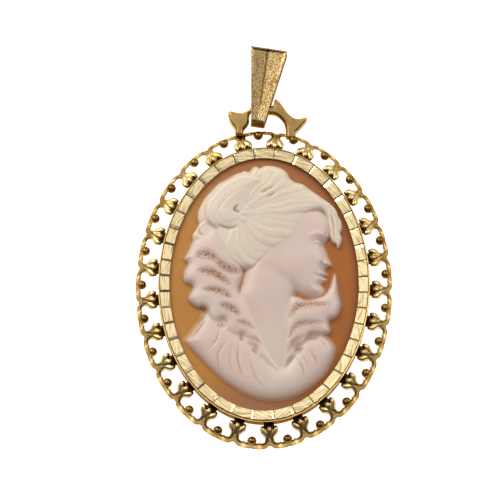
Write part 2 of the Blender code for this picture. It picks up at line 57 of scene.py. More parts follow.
# Places read from the frame, in mm
SHELL_LOW, SHELL_HIGH = (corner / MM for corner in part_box("cameo"))
SETTING_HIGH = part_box("setting")[1] / MM
CENTRE_Y = (SHELL_LOW.y + SHELL_HIGH.y) / 2
SWING = Vector(frame["joints"][0]["pos_m"]) / MM

# Shell: its edge, dome, hollow back and the carving's height and grid
SHELL_HALF_WIDTH = (SHELL_HIGH.x - SHELL_LOW.x) / 2
SHELL_HALF_HEIGHT = (SHELL_HIGH.y - SHELL_LOW.y) / 2
SHELL_EDGE = 1.46
SHELL_DOME = 0.7
SHELL_HOLLOW = 0.9
CARVING_TOP = 1.52
CARVING_COLUMNS = 292
CARVING_ROWS = 304
BACK_RINGS = (1.0, 0.86, 0.62, 0.36, 0.12)
SEAM_FILL = 0.5
SEAM_WIDTH = 0.6

# Bezel; the graver's strokes are counted for each mm along them and across them
EDGE_TO_WALL = 0.7
WALL_X = SHELL_HALF_WIDTH + EDGE_TO_WALL
WALL_Y = SHELL_HALF_HEIGHT + EDGE_TO_WALL
BEZEL_TOP = SETTING_HIGH.z
BEZEL_WIDTH = 1.37
STEP_WIDTH = 0.22
STEP_DROP = 0.2
BLOCK_GAP = 0.03
GROOVE_DROP = 0.42
LIP_SLOPE = 0.14
LIP_THICKNESS = 0.38
WALL_THICKNESS = 0.45
BEARING_WIDTH = 0.8
BEARING_HEIGHT = 1.5
BASE_INSET = 0.75
BASE_HEIGHT = 1.8
WALL_STATIONS = 360
BLOCK_COUNT = 40
BLOCK_THICKNESS = 0.34
BLOCK_COLUMNS = 58
BLOCK_ROWS = 14
CUT_DEPTH = 0.14
CUT_STEEP = 0.07
CUT_GENTLE = 0.38
SCRATCH_DEPTH = 0.03
STROKES_ALONG = 0.42
STROKES_ACROSS = 10.5
BLOCK_SEED = 4

# Gallery; tarnish and painted shade run from 0 to 1
GALLERY_WIDTH = 2.85
UNIT_COUNT = 25
UNIT_TURN = 0.16
RIM_THICKNESS = 0.8
HEAD_HEIGHT = 2.7
GALLERY_THICKNESS = 0.85
RIM_LINE = 2.54
BEAD_RADIUS = 0.55
BEAD_OUT = 2.05
BEAD_SIDES = 28
BEAD_RINGS = 18
COLLAR_ASIDE = 0.83
CAST_VOXEL = 0.066
UNIT_TRIANGLES = 6600
RIM_TARNISH = 0.7
TAB_PAINTED_SHADE = 0.8
GUIDE_POINTS = 1440
LENGTH_STEPS = 2880

# Wishbone and bail; turns are in degrees
WISHBONE_X = 0.44
WISHBONE_RISE = 1.06
WISHBONE_TURN = -4.0
WISHBONE_THICKNESS = 1.2
BAR_HALF_HEIGHT = 0.52
BAR_CENTRE = 1.4
BAR_LEFT = 2.32
BAR_RIGHT = 0.62
BAR_TOP_SHORTER = 0.3
STEM_LENGTH = 0.75
WISHBONE_BEVEL = 0.35
WISHBONE_VOXEL = 0.085
FOOT_REACH = 5.07
FOOT_DROP = 1.4
BAIL_LENGTH = 9.76
BAIL_TOP_WIDTH = 4.6
BAIL_BOTTOM_WIDTH = 1.65
BAIL_DEPTH = 2.8
BAIL_WALL = 0.45
BAIL_BELOW_BAR = 2.03
BAIL_LEAN = -8.7
BAIL_CORNER = 0.4
BAIL_TOP_CORNER = 0.22
BORDER_WIDTH = 0.17
PANEL_DEPTH = 0.09
CREASE_DEPTH = 0.2
BARK_DEPTH = 0.055
CREASE_ASIDE = 0.12
FRONT_STEPS = 120
FRONT_COLUMNS = 41
CORNER_STEPS = 6

# Camera, as the photograph was taken: nearly straight down on the pendant
CAMERA_TARGET = Vector((-1.743, -0.484, 2.0))
CAMERA_ELEVATION = 77.0
CAMERA_LENS = 600.0
SENSOR_WIDTH = 36.0
VIEW_WIDTH = 62.25
FLOOR_HALF = 2000

# Wishbone's outline, as shares of the feet's reach across it and of their drop upwards
RIGHT_ARM_TOP = [(0.124, 1.5), (0.124, 1.85), (0.136, 2.06), (0.18, 2.08), (0.318, 1.61), (0.468, 0.905)]
RIGHT_FOOT = [
    (0.594, 0.51), (0.718, 0.36), (0.844, 0.44), (0.965, 0.62), (0.995, 0.5), (0.962, 0.12),
    (0.885, -0.27), (0.8, -0.6), (0.735, -0.85),
]
RIGHT_ARM_UNDER = [(0.47, -0.9), (0.46, -0.6), (0.425, -0.15), (0.343, 0.22), (0.245, 0.5), (0.15, 0.66)]
LEFT_ARM_TOP = [(0.452, 1.05), (0.495, 0.86), (0.549, 0.7)]
LEFT_FOOT = [
    (0.659, 0.53), (0.809, 0.58), (0.945, 0.7), (0.99, 0.54), (0.98, 0.16), (0.935, -0.3), (0.87, -0.66),
    (0.79, -0.95),
]
LEFT_ARM_UNDER = [(0.575, -1.0), (0.52, -0.76), (0.455, -0.42), (0.447, 0.0), (0.452, 0.5)]
RIGHT_STEM = (0.7, 0.48)
LEFT_STEM = (0.77, 0.56)

# Carved outlines, in mm from the middle of the oval
HAIR = [
    (-0.51, 14.85), (0.19, 15.17), (1.63, 15.01), (2.78, 14.42), (3.3, 13.5), (3.9, 13.05), (4.92, 12.72),
    (6.06, 11.89), (7.35, 10.97), (8.63, 9.94), (9.1, 9.3), (9.2, 8.75), (9.65, 8.0), (9.75, 7.1),
    (9.55, 6.45), (9.72, 5.7), (9.5, 4.95), (9.22, 4.5), (8.95, 5.1), (8.62, 5.2), (8.2, 6.0), (7.85, 7.89),
    (7.6, 8.9), (6.9, 9.25), (5.9, 8.8), (5.25, 8.2), (4.7, 7.3), (4.06, 6.1), (3.45, 5.15),
    (2.75, 4.75), (1.9, 4.15), (0.91, 3.45), (-0.22, 2.45), (-1.37, 1.65), (-2.8, 1.73),
    (-4.08, 2.31), (-5.09, 3.2), (-5.8, 4.37), (-6.1, 5.3), (-6.6, 6.9), (-8.05, 7.6),
    (-8.25, 9.08), (-7.66, 10.6), (-6.8, 11.8), (-5.66, 12.9), (-4.37, 13.7), (-2.51, 14.45),
    (-1.93, 14.37), (-1.31, 14.98), (-0.9, 15.05),
]
NAPE_CURLS = [
    (-8.1, 7.9), (-8.45, 6.9), (-8.8, 6.1), (-8.6, 5.4), (-7.6, 5.0), (-6.3, 4.7), (-5.7, 4.6),
    (-5.8, 6.0), (-6.1, 7.4), (-7.0, 8.2),
]
FRINGE = [
    (6.0, 12.0), (7.35, 10.97), (8.63, 9.94), (9.35, 8.47), (9.66, 7.0), (9.55, 5.62),
    (9.45, 4.85), (9.1, 4.55), (8.75, 5.0), (8.35, 5.7), (8.0, 6.7), (7.85, 7.89), (7.5, 9.1), (7.0, 10.4),
]
BUN = [
    (-0.4, 13.3), (-2.5, 13.7), (-4.7, 12.9), (-6.4, 11.4), (-7.3, 9.6), (-7.1, 7.9), (-5.8, 6.9),
    (-4.0, 6.7), (-2.9, 7.3), (-2.4, 8.4), (-2.2, 9.7), (-1.2, 11.6),
]
BODICE = [
    (-10.02, -7.25), (-9.25, -6.15), (-8.3, -4.8), (-7.2, -3.4), (-4.92, -4.35), (-1.18, -7.0),
    (2.18, -10.2), (4.42, -7.0), (6.91, -6.2), (8.03, -6.74), (8.75, -7.6), (8.98, -8.5),
    (8.6, -9.9), (7.58, -11.6), (6.01, -13.1), (3.8, -14.4), (1.01, -14.95), (-1.86, -14.35),
    (-4.71, -12.7), (-6.86, -10.8), (-8.78, -8.7),
]
COLLAR_LEFT = [
    (-5.7, 7.3), (-7.6, 6.2), (-8.75, 5.7), (-9.5, 4.1), (-9.95, 3.2), (-9.45, 2.62),
    (-9.95, 1.6), (-10.02, 0.6), (-9.7, 0.1), (-8.83, -0.4), (-9.42, -1.74), (-9.0, -2.5),
    (-8.1, -3.1), (-7.5, -3.2), (-7.0, -4.2), (-6.14, -5.05), (-5.0, -4.75), (-4.9, -5.9),
    (-3.7, -6.8), (-2.6, -6.75), (-2.4, -7.8), (-1.13, -8.33), (-0.95, -9.2), (0.9, -10.7),
    (2.3, -11.25), (1.15, -9.45), (0.15, -7.41), (-0.85, -5.04), (-1.99, -2.56), (-3.1, -1.0),
    (-2.6, 1.5), (-3.3, 4.5),
]
COLLAR_RIGHT = [
    (2.25, -11.3), (2.3, -8.49), (2.62, -4.37), (3.2, -1.9), (4.2, -1.75), (5.3, -2.1),
    (7.16, -1.65), (8.1, -0.6), (8.62, 0.9), (8.85, 1.3), (9.15, -0.3), (9.25, -1.3),
    (9.55, -2.6), (9.25, -3.9), (8.7, -4.45), (8.05, -4.85), (8.25, -6.1), (7.4, -6.6),
    (5.86, -6.65), (5.35, -7.6), (4.1, -8.25), (3.95, -9.2), (3.05, -10.1),
]
NECK = [
    (-1.4, 3.2), (-3.0, -0.2), (-3.3, -2.2), (-2.3, -4.9), (-1.3, -7.6), (0.1, -10.2),
    (2.3, -12.2), (3.3, -8.6), (3.6, -5.0), (3.6, -3.0), (3.9, -1.6), (4.6, 0.5), (3.17, 2.81),
]
# Plain profile in thirds: hairline, brow, foot of the nose and chin are equally far apart
HEAD = [
    (6.9, 9.7), (7.8, 9.0), (8.4, 8.0), (8.55, 7.0), (8.42, 6.1), (7.95, 5.35), (7.9, 4.75),
    (8.25, 3.85), (8.7, 2.95), (8.92, 2.45), (8.82, 2.12), (8.45, 1.95), (8.08, 1.85),
    (8.08, 1.55), (8.32, 1.22), (8.28, 0.98), (8.0, 0.84), (8.22, 0.6), (8.14, 0.3), (7.8, 0.02),
    (7.72, -0.28), (7.92, -0.7), (7.86, -1.25), (7.45, -1.75), (6.75, -2.0), (5.7, -1.85),
    (4.5, -1.35), (3.3, -0.4), (1.5, 0.6), (-1.4, 1.5), (-1.0, 4.5), (1.0, 8.0), (4.5, 10.2),
]

# Partings of the hair, from the knot outwards: a lock lies between each two
COMBED = [
    [(-3.3, 10.1), (-3.1, 12.4), (-1.9, 14.5)],
    [(-2.9, 10.2), (-1.7, 12.7), (-0.2, 15.1)],
    [(-2.5, 9.9), (-0.2, 12.1), (1.8, 14.9)],
    [(-2.2, 9.8), (0.35, 11.7), (3.1, 14.0)],
    [(-1.95, 9.6), (0.8, 11.1), (3.95, 13.0)],
    [(-1.8, 9.4), (1.6, 10.7), (5.6, 12.2)],
    [(-1.8, 9.1), (2.1, 10.25), (7.1, 11.1)],
    [(-1.8, 8.8), (2.3, 9.5), (5.6, 10.3), (7.9, 9.6)],
    [(-1.8, 8.55), (1.6, 8.65), (4.6, 8.8), (5.8, 8.9)],
    [(-1.85, 8.3), (0.9, 7.95), (3.6, 7.75), (5.1, 7.75)],
    [(-1.95, 8.05), (0.6, 7.05), (3.0, 6.7), (4.4, 6.65)],
    [(-2.1, 7.75), (-0.2, 6.15), (2.0, 5.55), (3.7, 5.5)],
    [(-2.35, 7.45), (-1.1, 5.25), (0.9, 4.4), (2.6, 4.5)],
    [(-2.7, 7.25), (-1.95, 4.95), (-0.5, 3.65), (1.2, 3.5)],
    [(-3.1, 7.15), (-2.95, 4.95), (-1.95, 3.2), (-0.2, 2.35)],
    [(-3.5, 7.1), (-3.8, 4.65), (-2.95, 2.75), (-1.5, 1.6)],
    [(-4.1, 7.0), (-4.8, 4.95), (-4.2, 2.9), (-2.6, 1.65)],
    [(-4.8, 7.0), (-5.65, 5.25), (-5.25, 3.2), (-3.9, 2.2)],
    [(-5.8, 7.1), (-6.2, 5.85), (-6.0, 4.35), (-5.0, 3.1)],
]
COILED = [
    [(-0.4, 13.4), (-2.6, 13.8), (-4.8, 13.0), (-6.5, 11.4), (-7.4, 9.6), (-7.2, 7.8),
     (-5.8, 6.8), (-2.9, 7.2)],
    [(-0.9, 12.8), (-2.9, 12.9), (-4.7, 12.0), (-6.0, 10.6), (-6.6, 9.2), (-6.3, 7.9),
     (-5.2, 7.2), (-2.9, 7.6)],
    [(-1.3, 12.1), (-3.0, 11.9), (-4.4, 11.0), (-5.3, 9.9), (-5.6, 8.9), (-5.3, 8.0),
     (-4.4, 7.6), (-2.8, 7.9)],
]
SWEPT_BACK = [
    [(-1.6, 14.6), (-3.9, 14.0), (-5.9, 12.8), (-7.5, 10.9), (-8.3, 9.0), (-8.1, 7.6), (-7.0, 6.6)],
    [(-1.8, 13.9), (-4.0, 13.35), (-5.7, 12.2), (-7.0, 10.6), (-7.6, 8.9), (-7.5, 7.6), (-6.7, 6.3)],
    [(-2.2, 13.1), (-3.9, 12.8), (-5.3, 12.0), (-6.5, 10.8), (-7.1, 9.2), (-7.0, 7.9), (-6.3, 7.0)],
    [(-2.6, 12.2), (-3.7, 12.2), (-4.9, 11.8), (-6.1, 10.9), (-6.8, 9.6), (-6.7, 8.3), (-6.0, 7.4)],
]
FRINGE_LOCKS = [
    [(6.2, 12.0), (7.4, 11.0), (8.7, 9.9), (9.4, 8.5), (9.7, 7.0), (9.5, 4.7)],
    [(6.7, 11.3), (7.9, 10.0), (8.8, 8.5), (9.15, 7.0), (9.4, 4.8)],
    [(7.2, 10.5), (8.1, 9.2), (8.45, 7.9), (8.75, 6.5), (9.25, 4.9)],
    [(7.6, 9.7), (8.05, 7.9), (8.2, 6.8), (8.6, 5.6), (9.1, 4.8)],
]
CURL_LOCKS = [
    [(-7.6, 8.2), (-8.5, 6.9), (-8.8, 5.9), (-7.2, 5.0), (-5.8, 4.6)],
    [(-7.3, 7.6), (-7.9, 6.6), (-7.8, 5.9), (-6.9, 5.6), (-5.9, 5.4)],
    [(-6.9, 7.2), (-7.15, 6.5), (-7.0, 6.1), (-6.5, 6.1), (-6.0, 6.3)],
]
# Hollows of the ruffles: a curve through three points, then its half width and depth
HOLLOWS = [
    ((-5.7, 2.8), (-7.0, 3.5), (-8.5, 3.5), 0.6, 0.42),
    ((-6.4, 3.3), (-4.7, 1.8), (-2.7, 1.3), 0.5, 0.62),
    ((-4.1, -0.4), (-6.2, 1.15), (-8.4, 1.55), 0.5, 0.5),
    ((-3.9, -2.0), (-5.7, -1.1), (-7.7, -0.85), 0.44, 0.45),
    ((-2.9, -4.3), (-4.1, -3.3), (-5.6, -2.75), 0.46, 0.45),
    ((-1.0, -5.9), (-2.3, -5.2), (-3.6, -4.9), 0.32, 0.25),
    ((0.1, -7.9), (-1.1, -7.15), (-2.2, -7.0), 0.32, 0.22),
    ((3.0, -4.6), (4.6, -2.85), (8.3, -2.75), 0.5, 0.4),
    ((2.9, -7.2), (4.4, -5.3), (7.6, -5.0), 0.4, 0.28),
    ((2.7, -9.2), (3.6, -7.6), (5.2, -6.6), 0.36, 0.24),
    ((-8.5, -3.5), (-7.4, -3.3), (-6.8, -3.7), 0.36, 0.4),
    ((-5.9, -5.5), (-5.3, -5.3), (-4.9, -5.7), 0.38, 0.35),
    ((-3.0, -6.5), (-2.8, -7.0), (-2.7, -7.5), 0.3, 0.3),
    ((-1.6, -8.4), (-1.2, -8.6), (-0.9, -9.1), 0.3, 0.3),
    ((5.0, -7.3), (5.9, -6.9), (6.9, -6.9), 0.4, 0.32),
    ((4.0, -8.9), (4.3, -8.5), (4.9, -8.1), 0.4, 0.35),
]
# Stained hollows between the locks: beside the knot, in the crown, under the bun and at the back
HAIR_HOLLOWS = [
    ((-2.6, 0.9), (-3.2, 0.5), (-3.9, 0.0), 0.14, 0.2),
    ((-3.3, 9.8), (-3.55, 9.1), (-2.9, 8.75), 0.16, 0.3),
    ((-0.4, 11.3), (0.4, 11.85), (1.3, 12.35), 0.2, 0.14),
    ((0.3, 10.75), (0.9, 11.1), (1.6, 11.45), 0.16, 0.12),
    ((-6.1, 7.4), (-4.6, 6.85), (-3.1, 7.2), 0.16, 0.16),
    ((-5.6, 13.0), (-7.0, 11.6), (-7.9, 9.9), 0.26, 0.13),
    ((-3.4, 14.0), (-4.6, 13.5), (-5.7, 12.7), 0.24, 0.14),
    ((-7.9, 7.4), (-8.0, 6.5), (-7.4, 6.1), 0.16, 0.14),
    ((-6.1, 6.9), (-5.95, 5.7), (-5.5, 4.2), 0.15, 0.14),
    ((7.7, 9.4), (8.05, 7.6), (8.35, 6.2), 0.12, 0.1),
    ((8.1, 9.2), (8.65, 7.4), (9.05, 5.4), 0.1, 0.13),
    ((8.6, 9.1), (9.15, 7.6), (9.4, 5.9), 0.09, 0.1),
]
# Where the collar lies on the bodice
SEAMS = [
    [(-6.3, -4.0), (-4.3, -5.2), (-2.6, -6.4), (-0.9, -8.0), (0.4, -9.7)],
    [(7.3, -6.1), (5.6, -6.8), (4.2, -7.9), (3.0, -9.8)],
]
# Gathers of the bodice, given as the hollows are
GATHERS = [
    ((-7.1, -4.3), (-8.0, -5.6), (-9.2, -7.3), 0.2, 0.14),
    ((-7.3, -4.0), (-7.9, -4.5), (-8.5, -5.2), 0.2, 0.16),
    ((-5.5, -5.5), (-5.9, -7.2), (-7.3, -8.9), 0.17, 0.14),
    ((-4.4, -7.2), (-5.7, -9.0), (-5.55, -11.6), 0.17, 0.13),
    ((-3.9, -7.4), (-4.3, -9.8), (-3.7, -11.8), 0.2, 0.06),
    ((-3.05, -7.2), (-3.25, -9.8), (-2.6, -12.3), 0.17, 0.15),
    ((-2.0, -8.9), (-1.2, -11.7), (0.5, -14.0), 0.16, 0.09),
    ((3.8, -9.3), (4.7, -10.7), (5.1, -12.3), 0.17, 0.13),
    ((4.5, -8.9), (5.2, -10.0), (5.6, -11.2), 0.15, 0.1),
    ((5.5, -8.1), (6.2, -9.3), (6.7, -10.5), 0.17, 0.12),
    ((6.7, -6.9), (7.5, -7.8), (8.0, -8.8), 0.16, 0.12),
]


# Settings that many nodes share
SMOOTH = {"interpolation_type": "SMOOTHSTEP"}
COLOUR = {"data_type": "RGBA"}
TIMES = {"operation": "MULTIPLY"}
PLUS = {"operation": "ADD"}
MINUS = {"operation": "SUBTRACT"}


def linear(code):
    """Linear colour of an sRGB hex code."""
    parts = [int(code[start:start + 2], 16) / 255 for start in (1, 3, 5)]
    return tuple(c / 12.92 if c <= 0.04045 else ((c + 0.055) / 1.055) ** 2.4 for c in parts) + (1.0,)


def add(tree, kind, inputs=None, **settings):
    """Adds a node, or takes one that is there, and gives it settings and inputs.

    An input is a value, a socket, or a node whose first open output is meant.
    """
    node = kind if isinstance(kind, bpy.types.Node) else tree.nodes.new(kind)
    for name, value in settings.items():
        setattr(node, name, value)
    for key, value in (inputs or {}).items():
        if isinstance(value, bpy.types.Node):
            value = next(socket for socket in value.outputs if socket.enabled)
        if isinstance(value, bpy.types.NodeSocket):
            tree.links.new(value, node.inputs[key])
        else:
            node.inputs[key].default_value = value
    return node


def new_material(name):
    """Empty material, with its tree and the shader that gives its look."""
    made = bpy.data.materials.new(name)
    made.use_nodes = True
    return made, made.node_tree, made.node_tree.nodes["Principled BSDF"]


def gold(name, roughness, grain, bump, pits=0.2, tones=("#BCA172", "#C8B084"), hollow=0.55):
    """Yellow gold alloy: warm metal, bright where it is worn, with tarnish and painted shade darkening its
    hollows.

    The grain, in mm, is the spacing of the fine tool marks left on the surface, the bump is how deep they
    are and the pits are how dark their floors are. The hollow, in mm, is how wide a recess must be to stay
    clear of the painted shade and tarnish.
    """
    made, tree, shader = new_material(name)
    place = add(tree, "ShaderNodeTexCoord").outputs["Object"]
    marks = add(tree, "ShaderNodeTexNoise", {
        "Vector": place, "Scale": 1 / (grain * MM), "Detail": 3.0, "Roughness": 0.6,
    })
    patches = add(tree, "ShaderNodeTexNoise", {"Vector": place, "Scale": 1 / (2.6 * MM), "Detail": 2.0})
    shade = add(tree, "ShaderNodeAmbientOcclusion", {"Distance": hollow * MM}, samples=8, only_local=True)
    tarnish_and_shade = add(tree, "ShaderNodeAttribute", attribute_name="tarnish_and_shade").outputs["Fac"]
    patched, low, unshaded = (
        add(tree, "ShaderNodeMapRange", {"Value": value, "From Min": start, "From Max": end}, **SMOOTH)
        for value, start, end in (
            (patches, 0.35, 0.65), (marks, 0.52, 0.36), (shade.outputs["AO"], 0.35, 0.97),
        )
    )
    pitted = add(tree, "ShaderNodeMath", {0: low, 1: pits}, **TIMES)
    worn = add(tree, "ShaderNodeMix", {0: patched, 6: linear(tones[0]), 7: linear(tones[1])}, **COLOUR)
    worn = add(tree, "ShaderNodeMix", {0: pitted, 6: worn, 7: linear("#6E4D22")}, **COLOUR)
    # Tarnish and painted shade stored on the mesh darken the colour towards brown
    worn = add(tree, "ShaderNodeMix", {0: tarnish_and_shade, 6: worn, 7: linear("#5C421C")}, **COLOUR)
    # Painted shade, with tarnish, darkens the recesses that ambient occlusion finds
    tarnished_and_shaded = add(tree, "ShaderNodeMix", {0: unshaded, 6: linear("#3A250D"), 7: worn}, **COLOUR)
    dulled = add(tree, "ShaderNodeMath", {0: marks, 1: 0.12, 2: roughness - 0.06}, operation="MULTIPLY_ADD")
    relief = add(tree, "ShaderNodeBump", {"Height": marks, "Strength": 0.6, "Distance": bump * MM})
    shader.inputs["Metallic"].default_value = 1.0
    # Glancing reflections keep the warmth of the alloy instead of turning white
    shader.inputs["Specular Tint"].default_value = linear("#C09458")
    add(tree, shader, {"Base Color": tarnished_and_shaded, "Roughness": dulled, "Normal": relief})
    return made


def engraved_gold():
    """Gold cut with a graver: pale where it is fresh, with fine dark strokes along each block's scoring."""
    made, tree, shader = new_material("engraved_gold")
    strokes = add(tree, "ShaderNodeAttribute", attribute_name="graver").outputs["Vector"]
    facet = add(tree, "ShaderNodeAttribute", attribute_name="cut").outputs["Fac"]
    scored = add(tree, "ShaderNodeTexNoise", {
        "Vector": strokes, "Scale": 1.0, "Detail": 3.0, "Roughness": 0.55,
    })
    shade = add(tree, "ShaderNodeAmbientOcclusion", {"Distance": 0.3 * MM}, samples=8, only_local=True)
    stroke, sloped, deep, unshaded = (
        add(tree, "ShaderNodeMapRange", {"Value": value, "From Min": start, "From Max": end}, **SMOOTH)
        for value, start, end in (
            (scored, 0.53, 0.6), (facet, 0.0, 0.1), (facet, 0.7, 0.95), (shade.outputs["AO"], 0.25, 0.8),
        )
    )
    plain = add(tree, "ShaderNodeMath", {0: 1.0, 1: sloped}, **MINUS)
    line = add(tree, "ShaderNodeMath", {0: stroke, 1: plain}, **TIMES)
    dark = add(tree, "ShaderNodeMath", {0: line, 1: 0.55}, **TIMES)
    colour = add(tree, "ShaderNodeMix", {0: dark, 6: linear("#FFEEC2"), 7: linear("#6E4A18")}, **COLOUR)
    # Painted shade at the deep ends of the cuts between blocks
    colour = add(tree, "ShaderNodeMix", {0: deep, 6: colour, 7: linear("#5A3E18")}, **COLOUR)
    # Painted shade in recesses, from ambient occlusion
    colour = add(tree, "ShaderNodeMix", {0: unshaded, 6: linear("#4A3012"), 7: colour}, **COLOUR)
    relief = add(tree, "ShaderNodeBump", {"Height": line, "Strength": 0.8, "Distance": -0.02 * MM})
    dull = add(tree, "ShaderNodeMapRange", {"Value": facet, "From Max": 0.12, "To Min": 0.55, "To Max": 0.24})
    shader.inputs["Metallic"].default_value = 1.0
    add(tree, shader, {"Base Color": colour, "Roughness": dull, "Normal": relief})
    return made


def carved_shell():
    """Helmet shell: an amber ground under a paler layer, cut away by hand and polished to a soft gloss."""
    made, tree, shader = new_material("carved_helmet_shell")
    place = add(tree, "ShaderNodeTexCoord").outputs["Object"]
    across, height, _ = add(tree, "ShaderNodeSeparateXYZ", {0: place}).outputs
    carved, hair, stain, edge = (
        add(tree, "ShaderNodeAttribute", attribute_name=name).outputs["Fac"]
        for name in ("carved", "hair", "stain", "edge")
    )
    clouds = add(tree, "ShaderNodeTexNoise", {"Vector": place, "Scale": 1 / (5.0 * MM), "Detail": 3.0})
    specks = add(tree, "ShaderNodeTexNoise", {"Vector": place, "Scale": 1 / (0.16 * MM), "Detail": 2.0})
    polish = add(tree, "ShaderNodeTexNoise", {"Vector": place, "Scale": 1 / (0.5 * MM), "Detail": 4.0})
    shifted = add(tree, "ShaderNodeMath", {0: clouds, 1: 6.0 * MM, 2: across}, operation="MULTIPLY_ADD")
    darker, low, high, beside, right, rosy, creamy, thinned, raised, speckled = (
        add(tree, "ShaderNodeMapRange", {"Value": value, "From Min": start, "From Max": end}, **SMOOTH)
        for value, start, end in (
            (shifted, -6.0 * MM, 13.0 * MM),
            (height, (CENTRE_Y - 11) * MM, (CENTRE_Y - 16) * MM),
            (height, (CENTRE_Y + 8) * MM, (CENTRE_Y + 16) * MM),
            (edge, 0.7, 0.98), (across, -2 * MM, 8 * MM),
            (clouds, 0.35, 0.7), (clouds, 0.3, 0.7),
            (carved, 0.0, 0.16), (carved, 0.1, 0.5),
            (specks, 0.44, 0.56),
        )
    )
    # Painted shade: the ground darkened next to the bezel, on the right
    rim = add(tree, "ShaderNodeMath", {0: beside, 1: right}, **TIMES)
    soft = add(tree, "ShaderNodeMath", {0: stain, 1: 0.5}, **TIMES)
    dusty = add(tree, "ShaderNodeMath", {0: stain, 1: speckled}, **TIMES)
    flesh = add(tree, "ShaderNodeMix", {0: rosy, 6: linear("#E4D0C9"), 7: linear("#E2D2CB")}, **COLOUR)
    cream = add(tree, "ShaderNodeMix", {0: creamy, 6: linear("#E9DED2"), 7: linear("#E8DBCA")}, **COLOUR)
    figure = add(tree, "ShaderNodeMix", {0: hair, 6: flesh, 7: cream}, **COLOUR)
    colour = add(tree, "ShaderNodeMix", {0: darker, 6: linear("#C58B3A"), 7: linear("#B46C22")}, **COLOUR)
    for share, over in (
        (low, linear("#A97453")), (high, linear("#B07340")), (rim, linear("#84481C")),
        (thinned, linear("#CDA488")), (raised, figure), (soft, linear("#CDA387")), (dusty, linear("#96653C")),
    ):
        colour = add(tree, "ShaderNodeMix", {0: share, 6: colour, 7: over}, **COLOUR)
    relief = add(tree, "ShaderNodeBump", {"Height": polish, "Strength": 0.25, "Distance": 0.02 * MM})
    shader.inputs["Roughness"].default_value = 0.38
    shader.inputs["IOR"].default_value = 1.54
    shader.inputs["Coat Weight"].default_value = 0.08
    shader.inputs["Specular IOR Level"].default_value = 0.38
    shader.inputs["Coat Roughness"].default_value = 0.2
    shader.inputs["Subsurface Weight"].default_value = 0.75
    shader.inputs["Subsurface Radius"].default_value = (1.0, 0.7, 0.5)
    shader.inputs["Subsurface Scale"].default_value = 0.9 * MM
    add(tree, shader, {"Base Color": colour, "Normal": relief})
    return made


def through(knots, per_span=6, closed=False):
    """Smooth curve through a few points."""
    knots = np.array(knots, float)
    if not closed:
        knots = np.vstack([2 * knots[0] - knots[1], knots, 2 * knots[-1] - knots[-2]])
    before, after, beyond = np.roll(knots, 1, 0), np.roll(knots, -1, 0), np.roll(knots, -2, 0)
    steps = np.linspace(0.0, 1.0, per_span, endpoint=False)[:, None, None]
    curve = (
        2 * knots
        + (after - before) * steps
        + (2 * before - 5 * knots + 4 * after - beyond) * steps**2
        + (3 * knots - before - 3 * after + beyond) * steps**3
    ) / 2
    curve = curve.transpose(1, 0, 2).reshape(-1, knots.shape[1])
    if closed:
        return curve
    return np.vstack([curve[per_span:-2 * per_span], knots[-2]])


def eased(outline, spacing, rounds):
    """Closed outline with points at an even spacing and its corners rounded off."""
    outline = np.array(outline)
    points = []
    for start, end in zip(outline, np.roll(outline, -1, 0)):
        steps = max(round(np.hypot(*(end - start)) / spacing), 1)
        points += [start + (end - start) * step / steps for step in range(steps)]
    points = np.array(points)
    for _ in range(rounds):
        points = (np.roll(points, 1, 0) + 2 * points + np.roll(points, -1, 0)) / 4
    return points


def to_line(place, line):
    """Distance from each place to a line, and how far along the line its nearest spot is, from 0 to 1."""
    near = np.full(len(place), np.inf)
    along = np.zeros(len(place))
    count = len(line) - 1
    for index, (start, end) in enumerate(zip(line, line[1:])):
        run = end - start
        share = np.clip((place - start) @ run / max(run @ run, 1e-12), 0.0, 1.0)
        gap = np.hypot(*(place - start - share[:, None] * run).T)
        closer = gap < near
        near[closer] = gap[closer]
        along[closer] = (index + share[closer]) / count
    return near, along


def in_reach(place, line, reach):
    """Which places lie in the box of a line, grown by a reach."""
    line = np.array(line, float)
    return ((place > line.min(0) - reach) & (place < line.max(0) + reach)).all(1)


def depth_in(place, outline):
    """Distance inside a closed smooth outline, negative outside it."""
    line = through(outline, closed=True)
    line = np.vstack([line, line[:1]])
    depth = np.full(len(place), -1.0)
    chosen = in_reach(place, line, 0.5)
    spots = place[chosen]
    near, _ = to_line(spots, line)
    inside = np.zeros(len(spots), bool)
    for start, end in zip(line, line[1:]):
        if start[1] != end[1]:
            straddles = (start[1] > spots[:, 1]) != (end[1] > spots[:, 1])
            crossing = start[0] + (end[0] - start[0]) * (spots[:, 1] - start[1]) / (end[1] - start[1])
            inside ^= straddles & (spots[:, 0] < crossing)
    depth[chosen] = np.where(inside, near, -near)
    return depth


def shoulder(depth, width):
    """Rounded rise from an outline, level after a width."""
    share = np.clip(depth / width, 0.0, 1.0)
    return np.sqrt(1 - (1 - share) ** 2)


def swell(depth, width):
    """Soft rise from an outline that levels off, with no ridge where its two sides meet."""
    return 1 - np.exp(-((np.clip(depth, 0.0, None) / width) ** 1.3))


def joined(first, second, reach):
    """The greater of two heights, with the crease between them filled over a reach."""
    gap = np.clip(reach - np.abs(first - second), 0.0, None) / reach
    both = (first > 0) & (second > 0)
    return np.maximum(first, second) + gap**2 * reach / 4 * both


def softened(height, rounds):
    """Heights on the carving's grid, averaged a few times with their neighbours."""
    grid = height.reshape(CARVING_ROWS, CARVING_COLUMNS)
    for _ in range(rounds):
        edged = np.pad(grid, 1, mode="edge")
        grid = (edged[:-2, 1:-1] + edged[2:, 1:-1] + edged[1:-1, :-2] + edged[1:-1, 2:] + 2 * grid) / 6
    return grid.ravel()


